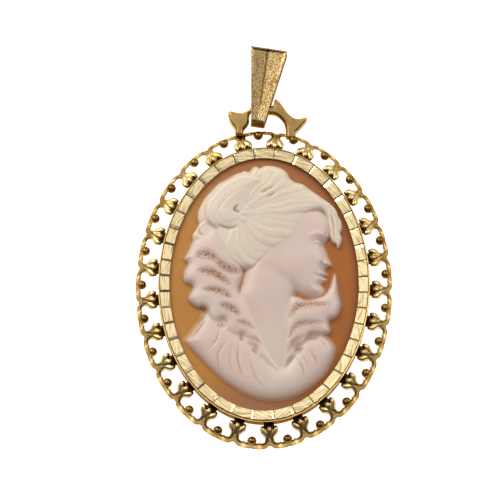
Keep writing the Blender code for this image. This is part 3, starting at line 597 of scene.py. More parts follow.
def locks(place, chosen, guides, lift, fine, strands=4, full=0.9):
    """Height of overlapping locks of hair between guide lines, where chosen: less where they are narrow."""
    spots = place[chosen]
    gaps = [to_line(spots, through(guide)) for guide in guides]
    widest = np.full(len(spots), np.inf)
    across, number, length = (np.zeros(len(spots)) for _ in range(3))
    for index, ((left, along), (right, _)) in enumerate(zip(gaps, gaps[1:])):
        total = left + right
        closer = total < widest
        widest[closer] = total[closer]
        across[closer] = (left / np.maximum(total, 1e-9))[closer]
        number[closer] = index
        length[closer] = along[closer]
    rounded = np.sqrt(np.clip(1 - (2 * across - 1) ** 2, 0, 1))
    lean = np.where(number % 2 == 0, across, 1 - across)
    uneven = 0.4 + 0.65 * np.sin(2.3 * number + 1.0) ** 2
    body = lift * uneven * np.minimum(widest / full, 1.0) * (0.75 * rounded + 0.25 * lean)
    hair = np.cos(2 * np.pi * strands * across + 1.7 * number + 5 * length)
    hair = fine * np.minimum(widest / full * 1.5, 1.0) * hair * np.clip(rounded * 1.3, 0, 1)
    height = np.zeros(len(place))
    height[chosen] = body + hair
    return height


def along_curve(place, knots, width):
    """Soft ridge or furrow along a curve, from 0 to 1, narrower and lower towards its ends."""
    share = np.zeros(len(place))
    chosen = in_reach(place, knots, 2.5 * width)
    near, along = to_line(place[chosen], through(knots, 8))
    taper = np.sqrt(np.clip(np.sin(np.pi * along), 0.0, 1.0))
    share[chosen] = taper * np.exp(-((near / (width * (0.3 + 0.7 * taper))) ** 2))
    return share


def bump(place, across, up, half_width, half_height, turn=0.0):
    """Soft round bump, 1 in its middle."""
    angle = math.radians(turn)
    shift = place - (across, up)
    along = shift @ (math.cos(angle), math.sin(angle))
    beside = shift @ (-math.sin(angle), math.cos(angle))
    return np.exp(-((along / half_width) ** 2) - (beside / half_height) ** 2)


def head_form(place):
    """Height of the head: a calm, plain face with a lidded eye, a nose wing, closed lips and a round chin."""
    back = 0.3 * np.clip((6.0 - place[:, 1]) / 3.0, 0.0, 1.0)
    place = place + np.outer(back, (1.0, 0.0))
    depth = depth_in(place, HEAD)
    chosen = depth > 0
    spots, inside = place[chosen], depth[chosen]
    form = 0.98 * swell(inside, 0.75)
    form += 0.2 * bump(spots, 4.9, 2.7, 1.9, 2.0)
    form -= 0.3 * bump(spots, 6.95, 4.95, 0.75, 0.5)
    form += 0.12 * along_curve(spots, [(5.5, 5.95), (6.6, 6.3), (7.8, 5.9)], 0.32)
    form += 0.2 * bump(spots, 6.85, 4.85, 0.42, 0.34)
    form += 0.13 * along_curve(spots, [(6.05, 4.8), (6.65, 5.25), (7.35, 4.95)], 0.12)
    form -= 0.08 * along_curve(spots, [(6.0, 5.1), (6.65, 5.5), (7.35, 5.2)], 0.11)
    form += 0.07 * along_curve(spots, [(6.2, 4.62), (6.75, 4.44), (7.2, 4.58)], 0.11)
    form += 0.2 * bump(spots, 8.15, 2.5, 0.34, 0.3)
    form -= 0.18 * along_curve(spots, [(7.65, 3.0), (7.45, 2.5), (7.75, 2.1)], 0.14)
    form -= 0.2 * bump(spots, 8.4, 2.1, 0.22, 0.1)
    form += 0.1 * bump(spots, 7.75, 1.3, 0.5, 0.22, -15)
    form += 0.12 * bump(spots, 7.7, 0.5, 0.42, 0.22, 10)
    form -= 0.2 * along_curve(spots, [(6.9, 0.92), (7.45, 0.84), (8.1, 0.86)], 0.11)
    form -= 0.1 * bump(spots, 6.75, 0.95, 0.22, 0.3)
    form -= 0.12 * bump(spots, 7.4, -0.15, 0.5, 0.2)
    form += 0.1 * bump(spots, 7.2, -1.0, 0.6, 0.5)
    height = np.zeros(len(place))
    height[chosen] = form
    return height


def dress_forms(place):
    """Heights of the bodice and the ruffled collar, and how stained their hollows are."""
    inside = depth_in(place, BODICE)
    bodice = softened(0.85 * swell(inside, 0.85), 4)
    stain = np.zeros(len(place))
    for *knots, width, depth in GATHERS:
        cut = along_curve(place, knots, width)
        bodice -= 0.65 * depth * cut
        fold = along_curve(place, np.array(knots) + (2.2 * width, 0.0), 1.6 * width)
        bodice += 0.22 * depth * fold
        stain = np.maximum(stain, 4.5 * depth * cut**3)
    bodice = np.maximum(bodice, 0.0)
    inside_collar = np.maximum(depth_in(place, COLLAR_LEFT), depth_in(place, COLLAR_RIGHT))
    low = np.clip((place[:, 1] + 10.0) / 6.0, 0.0, 1.0)
    collar = 0.75 * shoulder(inside_collar, 0.75) + (0.12 + 0.23 * low) * swell(inside_collar, 1.1)
    for *knots, width, depth in HOLLOWS:
        cut = along_curve(place, knots, width)
        collar -= depth * 0.45 * cut
        bodice -= depth * 0.25 * cut
        stain = np.maximum(stain, cut * min(depth / 0.4, 1.0))
    collar = np.maximum(collar, 0.15)
    return bodice * (inside > 0), collar * (inside_collar > 0), stain


def hair_form(place):
    """Height and stain of the hair: locks combed from the knot, a bun, a fringe and curls at the nape."""
    inside = depth_in(place, HAIR)
    right, up = place.T
    wave = 0.11 * np.sin(1.25 * up + 0.7 * right) + 0.05 * np.sin(2.9 * right - 1.9 * up)
    place = place + np.column_stack([wave, 0.07 * np.sin(1.7 * right + 1.1 * up)])
    combed = 0.85 * shoulder(inside, 0.8) + 0.4 * swell(inside, 1.5) - 0.05
    combed += locks(place, inside > 0, COMBED, 0.15, 0.016)
    swept = depth_in(place, [*SWEPT_BACK[0], *SWEPT_BACK[-1][::-1]])
    back = 0.8 * shoulder(inside, 1.4) + locks(place, swept > 0, SWEPT_BACK, 0.18, 0.016)
    share = np.clip(swept / 0.25, 0, 1)
    combed = combed * (1 - share) + back * share
    fringe_inside = depth_in(place, FRINGE)
    fringe = 0.6 * shoulder(fringe_inside, 0.5)
    fringe += locks(place, fringe_inside > 0, FRINGE_LOCKS, 0.24, 0.02, 2, 0.4)
    share = np.clip(fringe_inside / 0.3, 0, 1) * np.clip((11.2 - place[:, 1]) / 1.6, 0, 1)
    combed = (combed * (1 - share) + fringe * share) * (inside > 0)
    bun_inside = depth_in(place, BUN)
    bun = 0.9 + 0.52 * shoulder(bun_inside, 2.6) + locks(place, bun_inside > 0, COILED, 0.13, 0.016, 3)
    curls_inside = depth_in(place, NAPE_CURLS)
    curls = 0.7 * shoulder(curls_inside, 0.5) + locks(place, curls_inside > 0, CURL_LOCKS, 0.2, 0.02, 3)
    height = np.maximum.reduce([combed, bun * (bun_inside > 0), curls * (curls_inside > 0)])
    stain = np.zeros(len(place))
    for *knots, width, depth in HAIR_HOLLOWS:
        cut = along_curve(place, knots, width)
        height -= depth * cut * (height > 0)
        stain = np.maximum(stain, cut**1.5 * min(depth / 0.2, 0.9))
    return np.maximum(height, 0.0), stain


def carving(place):
    """Height of the whole figure above the ground, how much of it is hair, and how stained it is."""
    bodice, collar, stain = dress_forms(place)
    inside = depth_in(place, NECK)
    behind = np.clip((3.4 - place[:, 0]) / 4.0, 0, 1) * np.clip((place[:, 1] + 5.0) / 4.0, 0, 1)
    neck = (0.7 + 0.3 * behind) * swell(inside, 0.75) * (inside > 0)
    neck += 0.09 * along_curve(place, [(-1.2, -0.5), (0.3, -4.5), (1.9, -9.5)], 0.8) * (inside > 0)
    head = softened(joined(head_form(place), neck, 0.35), 1)
    hair, hair_stain = hair_form(place)
    dress = joined(bodice, collar, 0.3)
    for seam in SEAMS:
        dress += np.clip(SEAM_FILL - dress, 0.0, None) * along_curve(place, seam, SEAM_WIDTH)
    dress = softened(dress, 4)
    hair = softened(hair, 1)
    height = np.maximum(joined(dress, head, 0.2), hair)
    of_hair = softened(1.0 * (hair >= height) * (hair > 0), 2)
    stain = stain * (height <= dress) * (height > 0.05) + hair_stain * of_hair
    creamy = 0.7 * bump(place, 1.6, -10.0, 2.6, 4.0, 20)
    return height, np.maximum(of_hair, creamy), np.clip(stain, 0, 1)


def mesh_of(name, corners, faces):
    """Mesh in metres from corners in mm."""
    mesh = bpy.data.meshes.new(name)
    mesh.from_pydata([tuple(corner) for corner in np.array(corners) * MM], [], faces)
    mesh.validate()
    return mesh


def measured(mesh, name, values):
    """Stores a number for each corner of a mesh, for its finish to read."""
    filled = np.zeros(len(mesh.vertices), np.float32)
    filled[:len(values)] = values
    mesh.attributes.new(name, "FLOAT", "POINT").data.foreach_set("value", filled)


def shown(name, mesh, finish=None):
    """Object of a mesh, at the origin, with its finish."""
    made = bpy.data.objects.new(name, mesh)
    bpy.context.scene.collection.objects.link(made)
    if finish:
        mesh.materials.clear()
        mesh.materials.append(finish)
    return made


def outward(mesh):
    """Turns the faces of a closed mesh outwards."""
    form = bmesh.new()
    form.from_mesh(mesh)
    bmesh.ops.recalc_face_normals(form, faces=form.faces)
    form.to_mesh(mesh)
    form.free()


def cameo():
    """The shell: a finely cut front, an edge and a hollowed back, as one closed mesh."""
    across, up = np.meshgrid(np.linspace(-1, 1, CARVING_COLUMNS), np.linspace(-1, 1, CARVING_ROWS))
    oval = np.column_stack([
        (across * np.sqrt(1 - up**2 / 2)).ravel(), (up * np.sqrt(1 - across**2 / 2)).ravel()
    ])
    size = np.array([SHELL_HALF_WIDTH, SHELL_HALF_HEIGHT])
    carved, hair, stain = carving(oval * size)
    carved *= CARVING_TOP / carved.max()
    dome = SHELL_DOME * (1 - (oval**2).sum(1))
    height = SHELL_LOW.z + SHELL_EDGE + dome + carved
    height = np.minimum(height, SHELL_HIGH.z)
    corners = [np.column_stack([oval * size, height])]
    number = np.arange(CARVING_ROWS * CARVING_COLUMNS).reshape(CARVING_ROWS, CARVING_COLUMNS)
    faces = np.column_stack([
        number[:-1, :-1].ravel(), number[:-1, 1:].ravel(), number[1:, 1:].ravel(), number[1:, :-1].ravel()
    ]).tolist()
    rim = np.concatenate([number[0, :-1], number[:-1, -1], number[-1, :0:-1], number[:0:-1, 0]])
    ring = rim
    count = len(rim)
    for share in BACK_RINGS:
        start = sum(len(part) for part in corners)
        spots = oval[rim] * share
        corners.append(np.column_stack([
            spots * size, np.full(count, SHELL_LOW.z + SHELL_HOLLOW * (1 - share**2))
        ]))
        inner = np.arange(start, start + count)
        for index in range(count):
            after = (index + 1) % count
            faces.append((int(ring[index]), int(inner[index]), int(inner[after]), int(ring[after])))
        ring = inner
    faces.append([int(index) for index in ring])
    corners = np.vstack(corners)
    corners[:, 1] += CENTRE_Y
    mesh = mesh_of("cameo_carving", corners, faces)
    edge = (oval**2).sum(1)
    for name, values in (("carved", carved), ("hair", hair), ("stain", stain), ("edge", edge)):
        measured(mesh, name, values)
    outward(mesh)
    mesh.shade_smooth()
    made = shown("cameo_carving", mesh, carved_shell())
    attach(made, "pendant")
    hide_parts("cameo")
    return made


def wall_points(angles, out=0.0):
    """Points a distance out from the bezel's outer wall, at angles of the oval's own parameter."""
    wall = np.column_stack([WALL_X * np.cos(angles), WALL_Y * np.sin(angles)])
    normal = np.column_stack([WALL_Y * np.cos(angles), WALL_X * np.sin(angles)])
    normal /= np.linalg.norm(normal, axis=1)[:, None]
    return wall + normal * out, normal


def guide_line(name, angles, out):
    """A ring of points round the mount, each with its outward direction, to bend rows of units along."""
    places, normals = wall_points(angles, out)
    corners = np.column_stack([places[:, 0], places[:, 1] + CENTRE_Y, np.zeros(len(places))])
    edges = [(index, (index + 1) % len(corners)) for index in range(len(corners))]
    mesh = bpy.data.meshes.new(name)
    mesh.from_pydata([tuple(corner) for corner in corners * MM], edges, [])
    outwards = np.column_stack([normals, np.zeros(len(normals))]).astype(np.float32)
    mesh.attributes.new("outwards", "FLOAT_VECTOR", "POINT").data.foreach_set("vector", outwards.ravel())
    return shown(name, mesh)


def gallery_lengths():
    """Oval parameters and the lengths to them along the gallery's middle line."""
    angles = np.linspace(0.0, math.tau, LENGTH_STEPS + 1)
    points, _ = wall_points(angles, GALLERY_WIDTH / 2)
    steps = np.linalg.norm(np.diff(points, axis=0), axis=1)
    return angles, np.concatenate([[0.0], np.cumsum(steps)])


ANGLES, LENGTHS = gallery_lengths()
PITCH = LENGTHS[-1] / UNIT_COUNT


def even_angles():
    """Oval parameters at equal lengths along the gallery's middle line, from the bottom."""
    lengths = (np.arange(GUIDE_POINTS) / GUIDE_POINTS + 0.75) % 1.0
    return np.interp(lengths * LENGTHS[-1], LENGTHS, ANGLES)


def polar_angles():
    """Oval parameters at equal turns about the middle."""
    turns = np.arange(GUIDE_POINTS) / GUIDE_POINTS * math.tau
    return np.arctan2(WALL_X * np.sin(turns), WALL_Y * np.cos(turns))


def new_tree(name, inputs):
    """Geometry node tree with named inputs after its geometry."""
    tree = bpy.data.node_groups.new(name, "GeometryNodeTree")
    tree.interface.new_socket("Geometry", in_out="OUTPUT", socket_type="NodeSocketGeometry")
    tree.interface.new_socket("Geometry", in_out="INPUT", socket_type="NodeSocketGeometry")
    for label, kind in inputs:
        tree.interface.new_socket(label, in_out="INPUT", socket_type=kind)
    return tree, add(tree, "NodeGroupInput").outputs


def bent_round(tree, row, guide, copies):
    """Bends a straight row round the guide: X counts the units, Y is the distance out and Z the height."""
    place = add(tree, "GeometryNodeInputPosition")
    along, out, up = add(tree, "ShaderNodeSeparateXYZ", {0: place}).outputs
    turns = add(tree, "ShaderNodeMath", {0: along, 1: copies}, operation="DIVIDE")
    turn = add(tree, "ShaderNodeMath", {0: turns}, operation="FRACT")
    spot = add(tree, "ShaderNodeMath", {0: turn, 1: GUIDE_POINTS}, **TIMES)
    first = add(tree, "ShaderNodeMath", {0: spot}, operation="FLOOR")
    share = add(tree, "ShaderNodeMath", {0: spot, 1: first}, **MINUS)
    after = add(tree, "ShaderNodeMath", {0: first, 1: 1.0}, **PLUS)
    second = add(tree, "ShaderNodeMath", {0: after, 1: GUIDE_POINTS}, operation="MODULO")
    direction = add(tree, "GeometryNodeInputNamedAttribute", {"Name": "outwards"}, data_type="FLOAT_VECTOR")

    def between(field):
        """Value of a field on the guide, between the two points of it that a place lies at."""
        ends = [
            add(tree, "GeometryNodeSampleIndex", {
                "Geometry": guide, "Value": field, "Index": index,
            }, data_type="FLOAT_VECTOR")
            for index in (first, second)
        ]
        return add(tree, "ShaderNodeMix", {0: share, 4: ends[0], 5: ends[1]}, data_type="VECTOR")

    shift = add(tree, "ShaderNodeVectorMath", {0: between(direction), "Scale": out}, operation="SCALE")
    base = add(tree, "ShaderNodeVectorMath", {0: between(place), 1: shift}, **PLUS)
    raised = add(tree, "ShaderNodeCombineXYZ", {2: up})
    bent = add(tree, "ShaderNodeVectorMath", {0: base, 1: raised}, **PLUS)
    return add(tree, "GeometryNodeSetPosition", {"Geometry": row, "Position": bent})


def finished(tree, shape, finish):
    """Ends a tree: its shape smooth, made real and given its finish."""
    smooth = add(tree, "GeometryNodeSetShadeSmooth", {0: shape})
    real = add(tree, "GeometryNodeRealizeInstances", {0: smooth})
    dressed = add(tree, "GeometryNodeSetMaterial", {"Geometry": real, "Material": finish})
    add(tree, "NodeGroupOutput", {0: dressed})


def row_tree():
    """Copies of one unit end to end, bent round the mount."""
    tree, given = new_tree("row_round_mount", [
        ("Unit", "NodeSocketObject"), ("Copies", "NodeSocketInt"), ("Turn", "NodeSocketFloat"),
        ("Finish", "NodeSocketMaterial"),
    ])
    start = add(tree, "ShaderNodeCombineXYZ", {0: given["Turn"]})
    line = add(tree, "GeometryNodeMeshLine", {
        "Count": given["Copies"], "Start Location": start, "Offset": (1.0, 0.0, 0.0),
    })
    unit = add(tree, "GeometryNodeObjectInfo", {0: given["Unit"]}).outputs["Geometry"]
    row = add(tree, "GeometryNodeInstanceOnPoints", {"Points": line, "Instance": unit})
    real = add(tree, "GeometryNodeRealizeInstances", {0: row})
    finished(tree, bent_round(tree, real, given["Geometry"], given["Copies"]), given["Finish"])
    return tree


def block_tree():
    """Engraved blocks: boxes of small faces, scratched on top by a graver and cut down at their ends."""
    tree, given = new_tree("engraved_blocks", [
        ("Blocks", "NodeSocketInt"), ("Block Length", "NodeSocketFloat"), ("Width", "NodeSocketFloat"),
        ("Inner Edge", "NodeSocketFloat"), ("Top", "NodeSocketFloat"), ("Slope", "NodeSocketFloat"),
        ("Cut Depth", "NodeSocketFloat"), ("Scratch Depth", "NodeSocketFloat"), ("Seed", "NodeSocketInt"),
        ("Finish", "NodeSocketMaterial"),
    ])
    size = add(tree, "ShaderNodeCombineXYZ", {0: 1.0, 1: given["Width"], 2: BLOCK_THICKNESS * MM})
    box = add(tree, "GeometryNodeMeshCube", {
        "Size": size, "Vertices X": BLOCK_COLUMNS, "Vertices Y": BLOCK_ROWS, "Vertices Z": 2,
    })
    line = add(tree, "GeometryNodeMeshLine", {"Count": given["Blocks"], "Offset": (1.0, 0.0, 0.0)})
    row = add(tree, "GeometryNodeInstanceOnPoints", {"Points": line, "Instance": box.outputs["Mesh"]})
    real = add(tree, "GeometryNodeRealizeInstances", {0: row})
    place = add(tree, "GeometryNodeInputPosition")
    turn, across, level = add(tree, "ShaderNodeSeparateXYZ", {0: place}).outputs
    centred = add(tree, "ShaderNodeMath", {0: turn, 1: 0.5}, **PLUS)
    number = add(tree, "ShaderNodeMath", {0: centred}, operation="FLOOR")
    local = add(tree, "ShaderNodeMath", {0: turn, 1: number}, **MINUS)
    along = add(tree, "ShaderNodeMath", {0: local, 1: given["Block Length"]}, **TIMES)
    # Numbers by chance for each block: its scoring's angle, its tilt and pitch, and its gentle cut's reach
    chances = []
    for step, (low, high) in enumerate(((-0.5, 0.5), (-0.06, 0.06), (-0.03, 0.03), (0.4, 1.4)), 1):
        seed = add(tree, "ShaderNodeMath", {0: given["Seed"], 1: step}, **PLUS)
        chances.append(add(tree, "FunctionNodeRandomValue", {
            2: low, 3: high, "ID": number, "Seed": seed,
        }, data_type="FLOAT"))
    angle, leaning, pitching, reaching = chances

    def falling(share, reach):
        """Depth of a cut that fades out over a reach from a block's end."""
        from_end = add(tree, "ShaderNodeMath", {0: 0.5, 1: share}, **PLUS)
        gap = add(tree, "ShaderNodeMath", {0: from_end, 1: given["Block Length"]}, **TIMES)
        gone = add(tree, "ShaderNodeMath", {0: gap, 1: reach}, operation="DIVIDE")
        left = add(tree, "ShaderNodeMath", {0: 1.0, 1: gone}, **MINUS)
        return add(tree, "ShaderNodeMath", {0: left, 1: 0.0}, operation="MAXIMUM")

    # A steep cut at one end of each block and a gentle one, of any length, at the other
    gentle = add(tree, "ShaderNodeMath", {0: reaching, 1: CUT_GENTLE * MM}, **TIMES)
    other = add(tree, "ShaderNodeMath", {0: local, 1: -1.0}, **TIMES)
    ends = add(tree, "ShaderNodeMath", {
        0: falling(local, CUT_STEEP * MM), 1: falling(other, gentle),
    }, operation="MAXIMUM")
    # Strokes of the graver, long and thin, at each block's own angle and from its own part of the noise
    flat = add(tree, "ShaderNodeCombineXYZ", {0: along, 1: across, 2: 0.0})
    turned = add(tree, "ShaderNodeVectorRotate", {"Vector": flat, "Angle": angle}, rotation_type="Z_AXIS")
    drawn = add(tree, "ShaderNodeVectorMath", {
        0: turned, 1: (STROKES_ALONG / MM, STROKES_ACROSS / MM, 0.0),
    }, **TIMES)
    apart = add(tree, "ShaderNodeMath", {0: number, 1: 7.3}, **TIMES)
    shift = add(tree, "ShaderNodeCombineXYZ", {2: apart})
    moved = add(tree, "ShaderNodeVectorMath", {0: drawn, 1: shift}, **PLUS)
    grain = add(tree, "ShaderNodeTexNoise", {"Vector": moved, "Scale": 1.0, "Detail": 2.0, "Roughness": 0.6})
    strokes = add(tree, "ShaderNodeMapRange", {"Value": grain, "From Min": 0.4, "From Max": 0.6}, **SMOOTH)
    # How far each place of the top lies below it: cut, scratched and tilted a little either way
    drop = add(tree, "ShaderNodeMath", {0: ends, 1: given["Cut Depth"]}, **TIMES)
    scratched = add(tree, "ShaderNodeMath", {0: strokes, 1: given["Scratch Depth"]}, **TIMES)
    tilt = add(tree, "ShaderNodeMath", {0: across, 1: leaning}, **TIMES)
    pitch = add(tree, "ShaderNodeMath", {0: along, 1: pitching}, **TIMES)
    tilted, pitched = (add(tree, "ShaderNodeMath", {0: lean}, operation="ABSOLUTE") for lean in (tilt, pitch))
    for more in (scratched, tilted, pitched):
        drop = add(tree, "ShaderNodeMath", {0: drop, 1: more}, **PLUS)
    upper = add(tree, "ShaderNodeMath", {0: level, 1: 0.0}, operation="GREATER_THAN")
    lower = add(tree, "ShaderNodeMath", {0: 1.0, 1: upper}, **MINUS)
    outward_share = add(tree, "ShaderNodeMath", {0: across, 1: given["Width"]}, operation="DIVIDE")
    inward = add(tree, "ShaderNodeMath", {0: 0.5, 1: outward_share}, **MINUS)
    slope = add(tree, "ShaderNodeMath", {0: inward, 1: given["Slope"]}, **TIMES)
    sunk = add(tree, "ShaderNodeMath", {0: drop, 1: upper}, **TIMES)
    thick = add(tree, "ShaderNodeMath", {0: lower, 1: BLOCK_THICKNESS * MM}, **TIMES)
    height = given["Top"]
    for less in (slope, sunk, thick):
        height = add(tree, "ShaderNodeMath", {0: height, 1: less}, **MINUS)
    half = add(tree, "ShaderNodeMath", {0: given["Width"], 1: 0.5}, **TIMES)
    out = add(tree, "ShaderNodeMath", {0: across, 1: half}, **PLUS)
    out = add(tree, "ShaderNodeMath", {0: out, 1: given["Inner Edge"]}, **PLUS)
    laid = add(tree, "ShaderNodeCombineXYZ", {0: turn, 1: out, 2: height})
    shape = real
    for name, value, kind in (("graver", moved, "FLOAT_VECTOR"), ("cut", ends, "FLOAT")):
        shape = add(tree, "GeometryNodeStoreNamedAttribute", {
            "Geometry": shape, "Name": name, "Value": value,
        }, data_type=kind)
    cut = add(tree, "GeometryNodeSetPosition", {"Geometry": shape, "Position": laid})
    finished(tree, bent_round(tree, cut, given["Geometry"], given["Blocks"]), given["Finish"])
    return tree


def made_by(tree, name, base, values):
    """Plain mesh of a tree's result on a base object, with the tree's inputs given by their names."""
    modifier = base.modifiers.new(tree.name, "NODES")
    modifier.node_group = tree
    sockets = {item.name: item.identifier for item in tree.interface.items_tree if item.in_out == "INPUT"}
    for label, value in values.items():
        modifier[sockets[label]] = value
    bpy.context.view_layer.update()
    evaluated = base.evaluated_get(bpy.context.evaluated_depsgraph_get())
    mesh = bpy.data.meshes.new_from_object(evaluated)
    base.modifiers.remove(modifier)
    mesh.name = name
    return shown(name, mesh)


def blocks():
    """The forty engraved blocks on top of the bezel."""
    guide = guide_line("turn_guide", polar_angles(), 0.0)
    width = BEZEL_WIDTH - STEP_WIDTH - BLOCK_GAP
    made = made_by(block_tree(), "bezel_blocks", guide, {
        "Blocks": BLOCK_COUNT,
        "Block Length": math.tau * math.sqrt(WALL_X * WALL_Y) / BLOCK_COUNT * MM,
        "Width": width * MM,
        "Inner Edge": -BEZEL_WIDTH * MM,
        "Top": BEZEL_TOP * MM,
        "Slope": LIP_SLOPE * MM,
        "Cut Depth": CUT_DEPTH * MM,
        "Scratch Depth": SCRATCH_DEPTH * MM,
        "Seed": BLOCK_SEED,
        "Finish": engraved_gold(),
    })
    bpy.data.objects.remove(guide)
    made.data.set_sharp_from_angle(angle=math.radians(50))
    return made


def bezel_wall():
    """Plain parts of the bezel: its wall and outer wire, the lip under the blocks and the shell's bearing."""
    top = BEZEL_TOP
    lip = top - LIP_SLOPE
    inner = WALL_THICKNESS + BEARING_WIDTH
    section = [
        # distance out from the wall, height
        (-BASE_INSET, 0.0), (0.0, BASE_HEIGHT), (0.0, top - 0.5), (0.0, top - 0.33), (-0.02, top - 0.26),
        (-0.08, top - STEP_DROP), (-0.15, top - 0.22), (-0.19, top - 0.29), (-0.2, top - GROOVE_DROP),
        (-0.3, top - GROOVE_DROP), (-BEZEL_WIDTH + 0.02, lip - 0.3),
        (-BEZEL_WIDTH + 0.02, lip - LIP_THICKNESS), (-WALL_THICKNESS, lip - LIP_THICKNESS),
        (-WALL_THICKNESS, BEARING_HEIGHT), (-inner, BEARING_HEIGHT), (-inner, 0.0),
    ]
    stations = WALL_STATIONS
    angles = np.arange(stations) / stations * math.tau
    corners = []
    for out, height in section:
        places, _ = wall_points(angles, out)
        corners.append(np.column_stack([places[:, 0], places[:, 1] + CENTRE_Y, np.full(stations, height)]))
    faces = []
    rows = len(section)
    for row in range(rows):
        after = (row + 1) % rows
        here, there = row * stations, after * stations
        for index in range(stations):
            beyond = (index + 1) % stations
            faces.append((here + index, here + beyond, there + beyond, there + index))
    mesh = mesh_of("bezel_wall", np.vstack(corners), faces)
    # Painted shade with tarnish darkens the outer face of the wall below its top
    dull = [0.85 if out > -0.01 and height < top - 0.4 else 0.0 for out, height in section]
    measured(mesh, "tarnish_and_shade", np.repeat(dull, stations))
    outward(mesh)
    mesh.shade_smooth()
    mesh.set_sharp_from_angle(angle=math.radians(40))
    # Drawn and burnished: long clear highlights
    return shown("bezel_wall", mesh, gold("polished_gold", 0.26, 0.4, 0.006, 0.1, ("#D2AE69", "#DDBB78")))


def gallery_top(out):
    """Height of the gallery's upper side: nearly level at the leaf heads, then curving down to the rim."""
    share = np.clip(np.array(out) / GALLERY_WIDTH, 0.0, 1.0)
    return RIM_THICKNESS + (HEAD_HEIGHT - RIM_THICKNESS) * (1 - share**2.2)


def bar(form, knots, widths, lift, tall=1.5, sides=12):
    """Closed round bar along a smooth line of (along, out) points, with a half width at each."""
    line = through(knots)
    half = np.interp(np.linspace(0, len(widths) - 1, len(line)), range(len(widths)), widths)
    run = np.gradient(line, axis=0)
    run /= np.linalg.norm(run, axis=1)[:, None]
    ends = [(0.95, 0.3), (0.6, 0.8)]
    spots = [(line[0] - run[0] * half[0] * away, run[0], half[0] * thin) for away, thin in ends]
    spots += list(zip(line, run, half))
    spots += [
        (line[-1] + run[-1] * half[-1] * away, run[-1], half[-1] * thin) for away, thin in ends[::-1]
    ]
    rings = []
    for (x, y), direction, radius in spots:
        ring = []
        for side in range(sides):
            turn = side / sides * math.tau
            aside = radius * math.cos(turn)
            height = lift + tall * radius * math.sin(turn)
            ring.append(form.verts.new((x - direction[1] * aside, y + direction[0] * aside, height)))
        rings.append(ring)
    for ring, following in zip(rings, rings[1:]):
        for index in range(sides):
            after = (index + 1) % sides
            form.faces.new((ring[index], ring[after], following[after], following[index]))
    form.faces.new(rings[0])
    form.faces.new(rings[-1][::-1])


def cast(form, name, voxel, rounds, most=40000):
    """Fuses overlapping closed shapes, given in mm, into one soft casting of at most so many triangles."""
    bmesh.ops.recalc_face_normals(form, faces=form.faces)
    mesh = bpy.data.meshes.new(name)
    form.to_mesh(mesh)
    form.free()
    rough = shown(name, mesh)
    fused = rough.modifiers.new("fused", "REMESH")
    fused.mode = "VOXEL"
    fused.voxel_size = voxel
    relaxed = rough.modifiers.new("relaxed", "SMOOTH")
    relaxed.factor = 0.5
    relaxed.iterations = rounds
    thinned = rough.modifiers.new("thinned", "DECIMATE")
    thinned.show_viewport = False
    bpy.context.view_layer.update()
    whole = rough.evaluated_get(bpy.context.evaluated_depsgraph_get()).data
    thinned.ratio = min(1.0, most / (2 * len(whole.polygons)))
    thinned.show_viewport = True
    bpy.context.view_layer.update()
    evaluated = rough.evaluated_get(bpy.context.evaluated_depsgraph_get())
    done = bpy.data.meshes.new_from_object(evaluated)
    bpy.data.objects.remove(rough)
    return done


def gallery_unit():
    """One leg of the gallery: a leaf head like a fan on a tab, the neck's two rods and the half arches."""
    form = bmesh.new()
    half = PITCH / 2
    for side in (-1, 1):
        rod = [
            (0.2, 1.3), (0.24, 1.6), (0.28, 1.9), (0.34, 2.2), (0.6, 2.44), (1.2, 2.52), (half, RIM_LINE),
        ]
        bar(form, [(side * x, y) for x, y in rod], [0.24, 0.28, 0.3, 0.3, 0.31, 0.3, 0.29], -0.42, 1.35)
        lobe = [(0.24, 1.66), (0.5, 1.3), (0.73, 1.0), (0.82, 0.74), (0.84, 0.5)]
        bar(form, [(side * x, y) for x, y in lobe], [0.26, 0.33, 0.36, 0.36, 0.26], -0.33, 0.85)
        tab = [(0.36, -0.1), (0.36, 0.35), (0.36, 0.8)]
        bar(form, [(side * x, y) for x, y in tab], [0.34, 0.34, 0.34], -0.8, 0.9)
        aside = side * (half - COLLAR_ASIDE)
        bar(form, [(aside - 0.09, 2.5), (aside, 2.5), (aside + 0.09, 2.5)], [0.28, 0.39, 0.28], -0.34, 1.2)
    bar(form, [(0.0, 1.6), (0.0, 1.2), (0.0, 0.8), (0.0, 0.42)], [0.26, 0.36, 0.42, 0.32], -0.33, 0.85)
    bar(form, [(0.0, 1.95), (0.0, 2.2), (0.0, 2.38)], [0.16, 0.2, 0.16], -0.5, 1.4)
    bar(form, [(0.0, 1.3), (0.0, 0.85), (0.0, 0.6)], [0.4, 0.8, 0.85], -0.62, 0.3)
    mesh = cast(form, "gallery_unit", CAST_VOXEL, 2, UNIT_TRIANGLES)
    length = PITCH * UNIT_COUNT
    tarnish_and_shade = []
    for corner in mesh.vertices:
        along, out, height = corner.co
        collar = math.exp(-(((abs(along) - half + COLLAR_ASIDE) / 0.24) ** 2))
        # Real tarnish on the rim past the collars, and painted shade on the tab down between the wall and the
        # leaf head
        rim = min(max((out - 1.5) / 0.4, 0.0), 1.0) * (1 - collar)
        tab = min(max((0.6 - out) / 0.15, 0.0), 1.0)
        tarnish_and_shade.append(max(RIM_TARNISH * rim, TAB_PAINTED_SHADE * tab))
        along *= length / (length + math.tau * (out - GALLERY_WIDTH / 2))
        height = max(height + float(gallery_top(out)), 0.0)
        corner.co = (along / PITCH, (out - GALLERY_WIDTH / 2) * MM, height * MM)
    measured(mesh, "tarnish_and_shade", tarnish_and_shade)
    return shown("gallery_unit", mesh)


